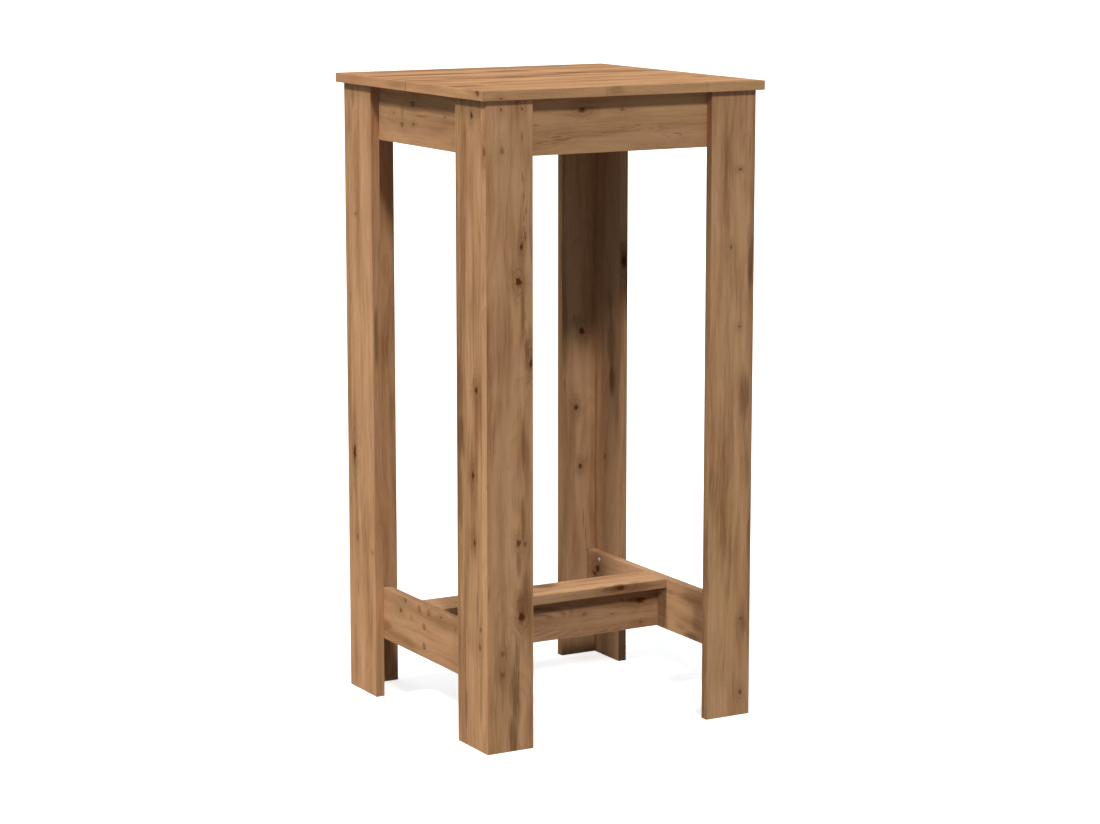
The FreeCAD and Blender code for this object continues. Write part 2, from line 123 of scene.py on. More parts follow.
# The boards, by their nodes' names.
BOARDS = {
    "table_top": Board(X, Y, Z, 1, 3.1, (0.945, 0.925, 0.91), 1.1, 0.4, 60, 0.03, (
        Streak(-150, 128, 130, 20, 0.75),
        Streak(14, 147, 50, 18, 0.95),
        Streak(-55, 191, 22, 9, 0.5),
        Streak(150, 165, 110, 24, 0.4),
        Streak(0, 222, 300, 30, 0.32),
        Streak(-215, 8, 60, 15, 0.65),
        Streak(-120, 22, 70, 24, 0.6),
        Streak(-45, 20, 60, 22, 0.85),
        Streak(25, 36, 60, 18, 0.75),
        Streak(85, 56, 45, 22, 0.85),
        Streak(175, 44, 90, 26, 0.65),
        Streak(-222, -139, 50, 17, 0.9),
        Streak(-150, -142, 60, 10, 0.45),
        Streak(20, -127, 120, 18, 0.4),
        Streak(93, -231, 26, 8, 0.4),
        Streak(213, -118, 18, 16, 0.6),
    )),
    "front_left_leg_face_board": Board(Z, X, Y, -1, 11.7, (1.07, 1.04, 1.05), 1.0, 0.5, -186, 0.1, (
        Knot(991, -214, 1.7, 1.0, 0.5),
        Knot(991, -178, 1.7, 1.0, 0.45),
        Streak(950, -178, 8, 1.6, 0.5),
        Knot(929, -212, 2.6, 1.3, 0.4),
        Streak(889, -177, 10, 1.8, 0.5),
        Streak(859, -175, 10, 1.8, 0.5),
        Checks(812, -174, 42, 5, 0.9),
        Knot(784, -179, 2.0, 1.4, 0.95),
        Knot(731, -184, 3.2, 1.3),
        Streak(688, -177, 48, 3.5, 0.7),
        Streak(625, -170, 25, 4, 0.7),
        Checks(628, -169, 80, 7, 0.8),
        Knot(604, -163, 2.0, 2.2, 0.9),
        Streak(584, -233, 14, 4, 0.35),
        Streak(430, -238, 240, 7, 0.2),
        Streak(485, -176, 46, 4, 0.6),
        Streak(365, -177, 34, 4.5, 0.7),
        Knot(328, -185, 2.4, 1.4, 0.8),
        Knot(326, -173, 2.2, 1.4, 0.45),
        Streak(292, -184, 26, 5, 0.55),
        Streak(262, -174, 24, 8, 0.45),
        Knot(212, -180, 3.8, 1.2),
        Streak(232, -175, 32, 15, 0.65),
        Streak(255, -237, 20, 3, 0.4),
        Knot(157, -213, 2.4, 1.1, 0.45),
        Knot(124, -213, 2.4, 1.1, 0.5),
        Streak(150, -188, 34, 5, 0.65),
        Streak(90, -191, 64, 10, 0.8),
        Streak(22, -195, 56, 9, 0.8),
    )),
    "front_left_leg_side_board": Board(Z, Y, X, -1, 23.4, 0.92, 1.1, 0.6, -120, 0.04, (
        Knot(981, -196, 2.2, 1.4, 1.0),
        Streak(740, -168, 230, 10, 0.35),
        Streak(380, -174, 330, 9, 0.25),
        Streak(500, -145, 560, 10, 0.5),
        Streak(720, -200, 160, 3, 0.35),
        Streak(822, -174, 8, 3, 0.4),
        Streak(680, -155, 90, 8, 0.4),
        Streak(631, -152, 12, 3, 0.8),
        Knot(565, -208, 3.2, 1.1),
        Streak(576, -199, 9, 2.4, 0.6),
        Streak(560, -151, 90, 18, 0.7),
        Streak(490, -154, 50, 20, 0.95),
        Streak(400, -152, 80, 18, 0.65),
        Knot(432, -196, 2.7, 1.3, 1.0),
        Knot(327, -201, 2.5, 1.2, 0.85),
        Streak(220, -170, 90, 8, 0.4),
        Streak(232, -209, 24, 4, 0.4),
        Knot(194, -219, 2.4, 1.2, 0.45),
        Knot(165, -217, 2.8, 1.2, 0.45),
        Streak(58, -170, 45, 6, 0.5),
        Streak(90, -219, 60, 4, 0.45),
    )),
    "back_left_leg_side_board": Board(Z, Y, X, -1, 37.9, (1.04, 1.05, 1.06), 0.9, 0.5, 190, 0.05, (
        Streak(985, 208, 20, 8, 0.5),
        Streak(945, 222, 48, 9, 0.5),
        Knot(794, 203, 1.5, 0.5, 0.7),
        Streak(645, 233, 34, 7, 0.8),
        Streak(655, 226, 14, 5, 0.7),
        Checks(600, 230, 70, 8, 0.9),
        Streak(560, 230, 25, 3, 0.4),
        Knot(400, 215, 3.2, 2.6),
        Streak(384, 215, 16, 5, 0.6),
        Knot(257, 209, 2.8, 1.4, 0.4),
        Knot(242, 153, 1.8, 0.6, 0.5),
        Streak(172, 208, 16, 4, 0.35),
        Knot(84, 235, 1.6, 1.2, 0.5),
    )),
    "back_left_leg_face_board": Board(Z, X, Y, -1, 41.3, 0.97, 0.9, 0.6, -200, 0.06, ()),
    "front_right_leg_face_board": Board(Z, X, Y, -1, 53.2, 1.07, 1.0, 0.4, 250, 0.06, (
        Streak(480, 238, 470, 12, 0.3),
        Knot(882, 213, 2.2, 0.45, 0.7),
        Streak(915, 230, 25, 2, 0.5),
        Knot(761, 197, 1.7, 1.3, 0.5),
        Streak(735, 234, 70, 7, 0.95),
        Knot(634, 214, 1.6, 0.8, 0.5),
        Streak(523, 225, 46, 14, 0.7),
        Streak(285, 236, 60, 5, 0.7),
        Streak(150, 229, 16, 7, 0.45),
        Knot(160, 222, 1.8, 1.3, 0.5),
        Knot(38, 223, 2.2, 1.2, 0.6),
    )),
    "front_right_leg_side_board": Board(Z, Y, X, -1, 59.6, 1.0, 0.9, 0.6, -190, 0.06, ()),
    # Painted shade: this board's darker, cooler tone stands in for the cool shade on this inner face.
    "back_right_leg_face_board": Board(Z, X, Y, -1, 61.8, (0.91, 0.99, 1.07), 0.8, 0.5, 205, 0.1, (
        Streak(500, 163, 520, 8, 0.35),
        Knot(567, 198, 3.2, 1.2, 0.95),
        Streak(592, 183, 8, 2.5, 0.5),
        Streak(520, 164, 28, 3, 0.6),
        Streak(478, 164, 18, 3, 0.8),
        Knot(435, 187, 2.6, 1.2, 0.9),
        Knot(332, 195, 2.3, 1.2, 0.9),
        Streak(240, 202, 22, 1.5, 0.6),
        Streak(213, 206, 20, 1.5, 0.6),
    )),
    # Painted light and shade: this board's lighter, cooler tone lightens its lower part and cools its
    # shade, and the wide streak at 780 darkens its upper part, where the table top and apron shade this
    # inner face.
    "back_right_leg_side_board": Board(Z, Y, X, -1, 78.4, (0.97, 1.05, 1.13), 0.6, 0.4, 190, 0.06, (
        Streak(780, 190, 330, 70, 0.42),
        Streak(628, 177, 34, 14, 0.6),
        Streak(550, 173, 70, 18, 0.75),
        Streak(490, 169, 34, 14, 1.0),
        Knot(352, 191, 2.6, 1.2, 0.4),
    )),
    "front_apron": Board(X, Z, Y, -1, 83.7, 1.04, 0.6, 0.5, 900, 0.05, (
        Knot(-65, 984, 2.8, 1.3, 0.85),
        Streak(-56, 986, 30, 2.5, 0.4),
        Knot(6, 982, 1.5, 2.0, 0.5),
        Streak(-145, 964, 8, 2, 0.5),
        Checks(-120, 942, 44, 11, 0.65),
        Checks(-35, 948, 22, 8, 0.55),
        Checks(40, 952, 70, 8, 0.4),
        Checks(105, 940, 30, 8, 0.5),
    )),
    "back_apron": Board(X, Z, Y, -1, 89.1, 1.0, 0.8, 0.7, 990, 0.05, ()),
    "left_apron": Board(Y, Z, X, -1, 97.3, 0.97, 0.7, 0.5, 955, 0.25, (
        Knot(26, 983, 3.2, 1.6, 0.55),
        Knot(62, 949, 3.0, 1.2, 0.5),
        Streak(62, 968, 7, 13, 0.3),
        Knot(23, 951, 1.5, 1.5, 0.6),
        Knot(91, 965, 1.5, 1.2, 0.4),
        Streak(-5, 966, 24, 3, 0.4),
        Streak(-40, 950, 50, 5, 0.25),
        Knot(-82, 969, 1.3, 1.2, 0.5),
    )),
    "right_apron": Board(Y, Z, X, -1, 101.9, 1.0, 0.9, 0.8, 955, 0.25, ()),
    "left_stretcher": Board(Y, Z, X, -1, 107.3, 0.98, 0.7, 0.3, 140, 0.2, (
        Knot(82, 159, 2.8, 1.0, 0.6),
        Knot(66, 178, 3.0, 1.2, 0.45),
        Knot(45, 154, 1.3, 0.7, 0.5),
        Knot(-20, 176, 2.2, 0.8, 0.35),
        Knot(-58, 177, 1.4, 1.4, 0.55),
        Streak(134, 122, 24, 12, 0.55),
        Streak(100, 116, 40, 10, 0.25),
        Streak(55, 111, 30, 10, 0.25),
        Streak(-85, 170, 50, 12, 0.2),
        Streak(-108, 169, 4, 4, 0.5),
    )),
    # Painted light: this board's raised, cooler tone offsets the warm bounce light and the shade that
    # falls on this inner face.
    "right_stretcher": Board(Y, Z, X, -1, 113.8, (1.01, 1.06, 1.13), 0.7, 0.3, 140, 0.2, (
        Knot(190, 156, 4.5, 0.8, 0.95),
        Knot(200, 146, 3.0, 1.4, 0.7),
        # The dark marks at the leg end, from -112 to -130 along, are partly print and partly painted
        # shade; the one 40 wide at -130 is a painted shadow of a leg.
        Streak(-112, 168, 40, 14, 0.5),
        Streak(-45, 164, 14, 5, 0.4),
        Streak(-118, 103, 30, 9, 0.8),
        Streak(-130, 140, 18, 40, 0.4),
        Streak(-80, 112, 20, 7, 0.4),
    )),
    "footrest_board": Board(X, Y, Z, 1, 127.2, (0.9, 0.94, 1.0), 0.9, 0.5, 10, 0.06, (
        Streak(8, 22, 30, 18, 0.85),
        Streak(95, 21, 60, 7, 0.45),
        Streak(86, -30, 12, 4, 0.6),
        Streak(120, -33, 14, 5, 0.9),
        Streak(152, -28, 16, 5, 0.5),
        Streak(0, -30, 16, 3, 0.4),
    )),
    # Painted light: this board's greyer, cooler tone offsets the warm light bounced onto it from the wood
    # round it.
    "footrest_rail": Board(X, Z, Y, -1, 131.6, (0.92, 0.96, 1.04), 0.7, 2.2, 128, 0.35, (
        Knot(176, 146, 3.0, 2.2),
        Streak(166, 147, 26, 5, 0.85),
        Knot(140, 151, 1.3, 1.4, 0.5),
        Knot(68, 136, 2.2, 1.4, 0.35),
        Knot(122, 129, 1.2, 1.6, 0.4),
        Knot(176, 109, 1.4, 1.6, 0.5),
        Streak(110, 100, 20, 2, 0.5),
    )),
}

# The edge bands, by their nodes' names.
BANDS = {
    "top_edge_bands": Band(X, 249.2, 3.1, 1.12, 0.6, 0.4, 700, 0.03, (
        Streak(-36, 762, 2.5, 10, 0.3),
        Streak(-20, 764, 18, 9, 0.4),
        Streak(144, 765, 1.6, 10, 0.25),
        Knot(-219, 758, 1.4, 1.2, 0.5),
        Streak(1, 864, 2.2, 14, 0.7),
        Streak(30, 866, 34, 10, 0.3),
        Knot(-234, 866, 3.0, 1.2, 0.7),
    )),
    "front_left_leg_edge_bands": Band(Z, NO_TURN, 141.2, 1.1, 0.8, 1.0, -480, 0.03, (
        Knot(928, -475, 2.2, 2.4, 0.6),
    )),
    "back_left_leg_edge_bands": Band(Z, NO_TURN, 147.7, 1.0, 0.8, 1.0, -480, 0.03, (
        Streak(605, -90, 60, 4, 0.7),
    )),
    "front_right_leg_edge_bands": Band(Z, NO_TURN, 151.4, 1.0, 0.8, 1.0, -480, 0.03, ()),
    # Painted shade: this band's tone of 0.8 darkens it, where the table top shades it.
    "back_right_leg_edge_bands": Band(Z, NO_TURN, 157.9, 0.8, 0.8, 1.0, -480, 0.03, (
        Knot(694, 377, 3.4, 1.8),
        Streak(702, 377, 20, 8, 0.75),
        Streak(655, 382, 60, 3, 0.4),
        Streak(560, 371, 60, 5, 0.5),
    )),
    "apron_edge_bands": Band(X, 210, 163.1, 1.0, 0.8, 1.0, 200, 0.03, ()),
    "stretcher_edge_bands": Band(Y, NO_TURN, 167.5, (0.86, 0.93, 1.03), 0.8, 1.0, 200, 0.03, ()),
    # Painted light: this band's cooler tone offsets the warm light bounced onto it from the wood round it.
    "footrest_edge_bands": Band(X, NO_TURN, 173.3, (1.02, 1.1, 1.22), 0.8, 0.6, 200, 0.03, (
        Knot(120, 144, 2.8, 2.2),
        Streak(112, 144, 24, 6, 0.8),
        Streak(150, 142, 40, 5, 0.45),
    )),
}


class OakSettings(bpy.types.PropertyGroup):
    """Colours and sizes of the oak finish."""

    light: FloatVectorProperty(
        name="Light grain", description="The palest wood", subtype="COLOR",
        default=linear(211, 166, 124), min=0, max=1)
    middle: FloatVectorProperty(
        name="Middle grain", description="The wood's main colour", subtype="COLOR",
        default=linear(193, 149, 108), min=0, max=1)
    dark: FloatVectorProperty(
        name="Dark grain", description="The darkest sound wood", subtype="COLOR",
        default=linear(157, 113, 77), min=0, max=1)
    halo: FloatVectorProperty(
        name="Knot halo", description="The brown wood round a knot", subtype="COLOR",
        default=linear(116, 80, 51), min=0, max=1)
    core: FloatVectorProperty(
        name="Knot core", description="The nearly black middle of a knot", subtype="COLOR",
        default=linear(88, 46, 15), min=0, max=1)
    warm: FloatVectorProperty(
        name="Warm tint", description="What the reddish stripes are multiplied by", subtype="COLOR",
        default=(1.0, 0.965, 0.985), min=0, max=1)
    cool: FloatVectorProperty(
        name="Cool tint", description="What the olive stripes are multiplied by", subtype="COLOR",
        default=(0.985, 0.983, 0.955), min=0, max=1)
    ring_spacing: FloatProperty(
        name="Ring spacing", description="Distance between two growth rings, in millimetres",
        default=8.0, min=1, soft_max=20)
    pore_depth: FloatProperty(
        name="Pore depth", description="Depth of the pressed-in pores", subtype="DISTANCE", unit="LENGTH",
        default=0.06 * MILLIMETRE, min=0, soft_max=MILLIMETRE, precision=6)


class FittingSettings(bpy.types.PropertyGroup):
    """Colours and sizes of the dowels and of the metal and plastic fittings."""

    beech: FloatVectorProperty(
        name="Beech", description="The dowels' wood", subtype="COLOR",
        default=linear(214, 178, 138), min=0, max=1)
    zinc: FloatVectorProperty(
        name="Cast zinc", description="The cam locks' metal", subtype="COLOR",
        default=linear(176, 176, 178), min=0, max=1)
    steel: FloatVectorProperty(
        name="Plated steel", description="The screws' and bolts' metal", subtype="COLOR",
        default=linear(244, 244, 240), min=0, max=1)
    plastic: FloatVectorProperty(
        name="Cap plastic", description="The screw caps' plastic", subtype="COLOR",
        default=linear(163, 118, 81), min=0, max=1)
    screw_pitch: FloatProperty(
        name="Screw pitch", description="How far a small screw goes in a turn", subtype="DISTANCE",
        unit="LENGTH", default=1.6 * MILLIMETRE, min=0.5 * MILLIMETRE, precision=5)
    joint_screw_pitch: FloatProperty(
        name="Joint screw pitch", description="How far a joint screw goes in a turn", subtype="DISTANCE",
        unit="LENGTH", default=3 * MILLIMETRE, min=0.5 * MILLIMETRE, precision=5)
    bolt_pitch: FloatProperty(
        name="Cam bolt pitch", description="How far a cam bolt goes in a turn", subtype="DISTANCE",
        unit="LENGTH", default=2 * MILLIMETRE, min=0.5 * MILLIMETRE, precision=5)
    flute_depth: FloatProperty(
        name="Flute depth", description="Depth of the glue grooves along a dowel", subtype="DISTANCE",
        unit="LENGTH", default=0.3 * MILLIMETRE, min=0, precision=5)
    flutes: IntProperty(
        name="Flutes", description="Number of glue grooves round a dowel", default=16, min=4, max=40)
    cap_crown: FloatProperty(
        name="Cap crown", description="How far a cap's middle stands above its rim", subtype="DISTANCE",
        unit="LENGTH", default=0.3 * MILLIMETRE, min=0, precision=5)


class StageSettings(bpy.types.PropertyGroup):
    """The camera, the lamps and the floor."""

    lens: FloatProperty(
        name="Lens", description="Focal length of the camera, in millimetres", default=97.88, min=1)
    camera_place: FloatVectorProperty(
        name="Camera place", description="Where the camera stands", subtype="TRANSLATION", unit="LENGTH",
        default=(-2.35421, -4.14487, 1.32952), precision=5)
    camera_pitch: FloatProperty(
        name="Camera pitch", description="Angle between the camera's view and straight down",
        subtype="ANGLE", unit="ROTATION", default=math.radians(79.88))
    camera_heading: FloatProperty(
        name="Camera heading", description="The camera's turn about the vertical",
        subtype="ANGLE", unit="ROTATION", default=math.radians(-29.67))
    room_light: FloatProperty(
        name="Room light", description="Light that comes evenly from all round", default=0.27, min=0)
    room_colour: FloatVectorProperty(
        name="Room colour", description="Colour of the light from all round", subtype="COLOR",
        default=(0.6, 0.82, 1.0), min=0, max=1)
    lamp_colour: FloatVectorProperty(
        name="Lamp colour", description="Colour of all the lamps' light", subtype="COLOR",
        default=(1.0, 0.94, 0.88), min=0, max=1)
    left_light: FloatProperty(
        name="Left light", description="Share of full light that the left lamp gives",
        default=0.74, min=0)
    front_light: FloatProperty(
        name="Front light", description="Share of full light that the front lamp gives",
        default=0.49, min=0)
    rear_light: FloatProperty(
        name="Rear light", description="Share of full light that each of the two rear lamps gives",
        default=0.26, min=0)
    floor_size: FloatProperty(
        name="Floor size", description="Width of the square floor", subtype="DISTANCE", unit="LENGTH",
        default=60, min=1)
    floor_lift: FloatProperty(
        name="Floor lift", description="How much paler than lit the floor shows",
        default=0.72, min=0, max=1)
    floor_bounce: FloatProperty(
        name="Floor bounce", description="Share of its light that the floor throws back on the table",
        default=0.2, min=0, max=1)


class BarTableSettings(bpy.types.PropertyGroup):
    """All that a user may change."""

    oak: PointerProperty(
        name="Oak", description="Colours and sizes of the oak finish", type=OakSettings)
    fittings: PointerProperty(
        name="Fittings", description="Colours and sizes of the dowels and fittings", type=FittingSettings)
    stage: PointerProperty(
        name="Stage", description="The camera, the lamps and the floor", type=StageSettings)


class NodeSheet:
    """One node tree, with short ways to add and join its nodes."""

    def __init__(self, tree):
        self.tree = tree

    def add(self, kind, **settings):
        node = self.tree.nodes.new(kind)
        for name, value in settings.items():
            setattr(node, name, value)
        return node

    def feed(self, socket, value):
        """Joins an output to a socket, or sets the socket to a plain value."""
        if isinstance(value, bpy.types.NodeSocket):
            self.tree.links.new(value, socket)
        elif socket.type == "RGBA" and len(value) == 3:
            socket.default_value = (*value, 1)
        else:
            socket.default_value = value

    def math(self, operation, *values, clamp=False):
        node = self.add("ShaderNodeMath", operation=operation, use_clamp=clamp)
        for socket, value in zip(node.inputs, values):
            self.feed(socket, value)
        return node.outputs[0]

    def carry(self, operation, values):
        """Carries one operation through all the values."""
        return reduce(lambda first, second: self.math(operation, first, second), values)

    def plus(self, *values):
        return self.carry("ADD", values)

    def times(self, *values):
        return self.carry("MULTIPLY", values)

    def largest(self, *values):
        return self.carry("MAXIMUM", values)

    def spread(self, value, amount=1.0):
        """How far a value lies from a half, times an amount."""
        return self.times(self.math("SUBTRACT", value, 0.5), amount)

    def step(self, value, low, high, start=0.0, end=1.0):
        """A smooth step from start to end as the value goes from low to high."""
        node = self.add("ShaderNodeMapRange", interpolation_type="SMOOTHSTEP")
        for socket, number in zip(node.inputs, (value, low, high, start, end)):
            self.feed(socket, number)
        return node.outputs[0]

    def fall(self, value, low, high, start=1.0):
        """A smooth fall from start to nothing as the value goes from low to high."""
        return self.step(value, low, high, start, 0.0)

    def length(self, first, second):
        """The length of two numbers at a right angle."""
        squares = self.math("MULTIPLY_ADD", first, first, self.times(second, second))
        return self.math("SQRT", squares)

    def combine(self, *values):
        node = self.add("ShaderNodeCombineXYZ")
        for socket, value in zip(node.inputs, values):
            self.feed(socket, value)
        return node.outputs[0]

    def separate(self, vector):
        node = self.add("ShaderNodeSeparateXYZ")
        self.feed(node.inputs[0], vector)
        return tuple(node.outputs)

    def noise(self, place, detail=2.0, roughness=0.5, scale=1.0):
        node = self.add("ShaderNodeTexNoise")
        self.feed(node.inputs["Vector"], place)
        node.inputs["Scale"].default_value = scale
        node.inputs["Detail"].default_value = detail
        node.inputs["Roughness"].default_value = roughness
        return node.outputs["Fac"]

    def stripes(self, along, across, layer, length, width, detail=2.0, roughness=0.5):
        """Noise drawn out along the grain: its patches are about so long and so wide."""
        place = self.combine(
            self.math("DIVIDE", along, length), self.math("DIVIDE", across, width), layer)
        return self.noise(place, detail, roughness)

    def mix(self, share, first, second, kind="MIX"):
        """Mixes two colours, whose sockets are the Mix node's inputs 6 and 7 and its output 2."""
        node = self.add("ShaderNodeMix", data_type="RGBA", blend_type=kind)
        self.feed(node.inputs[0], share)
        self.feed(node.inputs[6], first)
        self.feed(node.inputs[7], second)
        return node.outputs[2]

    def blend(self, share, first, second):
        """Mixes two numbers, whose sockets are the Mix node's inputs 2 and 3 and its output 0."""
        node = self.add("ShaderNodeMix")
        self.feed(node.inputs[0], share)
        self.feed(node.inputs[2], first)
        self.feed(node.inputs[3], second)
        return node.outputs[0]

    def group(self, tree, **values):
        """A copy of a node group, with its inputs named with underscores for spaces."""
        node = self.add("ShaderNodeGroup", node_tree=tree)
        for name, value in values.items():
            self.feed(node.inputs[name.replace("_", " ").capitalize()], value)
        return node.outputs

    def bump(self, height, distance):
        node = self.add("ShaderNodeBump")
        node.inputs["Distance"].default_value = distance
        self.feed(node.inputs["Height"], height)
        return node.outputs[0]


def new_group(name, inputs, outputs):
    """A node group whose sockets are numbers, apart from those with Colour in their name."""
    tree = bpy.data.node_groups.new(name, "ShaderNodeTree")
    for direction, labels in (("INPUT", inputs), ("OUTPUT", outputs)):
        for label in labels:
            kind = "NodeSocketColor" if "Colour" in label else "NodeSocketFloat"
            tree.interface.new_socket(label, in_out=direction, socket_type=kind)
    sheet = NodeSheet(tree)
    return sheet, sheet.add("NodeGroupInput").outputs, sheet.add("NodeGroupOutput").inputs


def knot_group():
    """A knot at the place where along and across are nothing. Distances are counted in its own width.

    The grain flows round it. Its core is star-shaped, because its edge goes in and out with the angle.
    Cracks run on from the star's arms, and a brown halo with thin rings in it fades away from it.
    """
    halo_stretch, fade_rate, push, swell = 1.7, 0.07, 0.7, 2.0
    least_reach, star_step, star_depth, rough_depth, rings_a_width = 0.01, 7.7, 1.3, 2.0, 0.6
    sheet, given, results = new_group(
        "Knot", ("Along", "Across", "Width", "Stretch", "Ragged"), ("Flow", "Swell", "Halo", "Core"))
    width = given["Width"]
    along = sheet.math("DIVIDE", sheet.math("DIVIDE", given["Along"], given["Stretch"]), width)
    across = sheet.math("DIVIDE", given["Across"], width)
    near = sheet.length(along, across)
    far = sheet.length(sheet.math("DIVIDE", along, halo_stretch), across)
    fade = sheet.math("EXPONENT", sheet.times(sheet.math("POWER", far, 2.0), -fade_rate))
    sheet.feed(results["Flow"], sheet.times(given["Across"], fade, -push))
    sheet.feed(results["Swell"], sheet.times(width, fade, swell))

    # The star's arms follow noise of the angle. The width moves that noise on, so that knots differ.
    reach = sheet.largest(near, least_reach)
    turn = sheet.combine(
        sheet.math("DIVIDE", along, reach), sheet.math("DIVIDE", across, reach),
        sheet.times(width, star_step))
    arms = sheet.noise(turn, roughness=0.6, scale=1.6)
    star = sheet.math("SUBTRACT", 1.0, sheet.spread(arms, star_depth))
    uneven = sheet.times(given["Ragged"], rough_depth)
    rough_near = sheet.math("MULTIPLY_ADD", near, star, uneven)
    rough_far = sheet.math("MULTIPLY_ADD", far, star, uneven)
    sheet.feed(results["Core"], sheet.fall(rough_near, 0.8, 1.9))

    # The halo is the strongest of a close ring, a wide one, the cracks, a thin tail and an eye of rings.
    inner = sheet.fall(rough_far, 0.9, 2.8, start=0.95)
    outer = sheet.fall(rough_far, 1.0, 7.5, start=0.55)
    cracks = sheet.times(sheet.step(arms, 0.56, 0.66), sheet.fall(near, 1.2, 5.0, start=0.45))
    thin = sheet.fall(sheet.math("ABSOLUTE", across), 0.1, 0.8)
    tail = sheet.times(thin, sheet.fall(near, 1.0, 5.5, start=0.55))
    round_it = sheet.times(far, star)
    phase = sheet.math("FRACT", sheet.times(round_it, rings_a_width))
    ring = sheet.times(sheet.step(phase, 0.3, 0.8), sheet.fall(phase, 0.85, 1.0))
    eye = sheet.times(ring, sheet.fall(round_it, 1.5, 7.0, start=0.9))
    sheet.feed(results["Halo"], sheet.largest(inner, outer, cracks, tail, eye))
    return sheet.tree


def scattered_knots_group(knot):
    """Small knots strewn over a face: one in some cells of a loose net, each of its own width.

    The layer moves the net, so that each board has its own.
    """
    cell_length, cell_width, looseness, empty_share, layer_step = 230.0, 58.0, 0.8, 0.45, 3.37
    least_width, extra_width, stretch = 0.9, 2.0, 1.6
    sheet, given, results = new_group(
        "Scattered knots", ("Along", "Across", "Layer", "Ragged"), ("Flow", "Swell", "Halo", "Core"))
    offset = sheet.times(given["Layer"], layer_step)
    place = sheet.combine(
        sheet.plus(sheet.math("DIVIDE", given["Along"], cell_length), offset),
        sheet.plus(sheet.math("DIVIDE", given["Across"], cell_width), offset), 0.0)
    cells = sheet.add("ShaderNodeTexVoronoi", voronoi_dimensions="2D")
    sheet.feed(cells.inputs["Vector"], place)
    cells.inputs["Scale"].default_value = 1.0
    cells.inputs["Randomness"].default_value = looseness
    here, there = sheet.separate(place), sheet.separate(cells.outputs["Position"])
    chance, size, _ = sheet.separate(cells.outputs["Color"])
    made = sheet.group(
        knot,
        along=sheet.times(sheet.math("SUBTRACT", here[0], there[0]), cell_length),
        across=sheet.times(sheet.math("SUBTRACT", here[1], there[1]), cell_width),
        width=sheet.math("MULTIPLY_ADD", size, extra_width, least_width),
        stretch=stretch,
        ragged=given["Ragged"])
    present = sheet.math("GREATER_THAN", chance, empty_share)
    for name in ("Flow", "Swell", "Halo", "Core"):
        sheet.feed(results[name], sheet.times(made[name], present))
    return sheet.tree


def streak_group():
    """A soft dark mark drawn out along the grain, ragged at its ends: dark figure in the wood, and on a
    few boards painted shade.
    """
    rough_depth = 1.5
    sheet, given, results = new_group(
        "Dark streak", ("Along", "Across", "Length", "Width", "Ragged"), ("Stain and shade",))
    along = sheet.math("DIVIDE", given["Along"], given["Length"])
    across = sheet.math("DIVIDE", given["Across"], given["Width"])
    reach = sheet.plus(sheet.length(along, across), sheet.times(given["Ragged"], rough_depth))
    sheet.feed(results["Stain and shade"], sheet.fall(reach, 0.3, 1.25))
    return sheet.tree


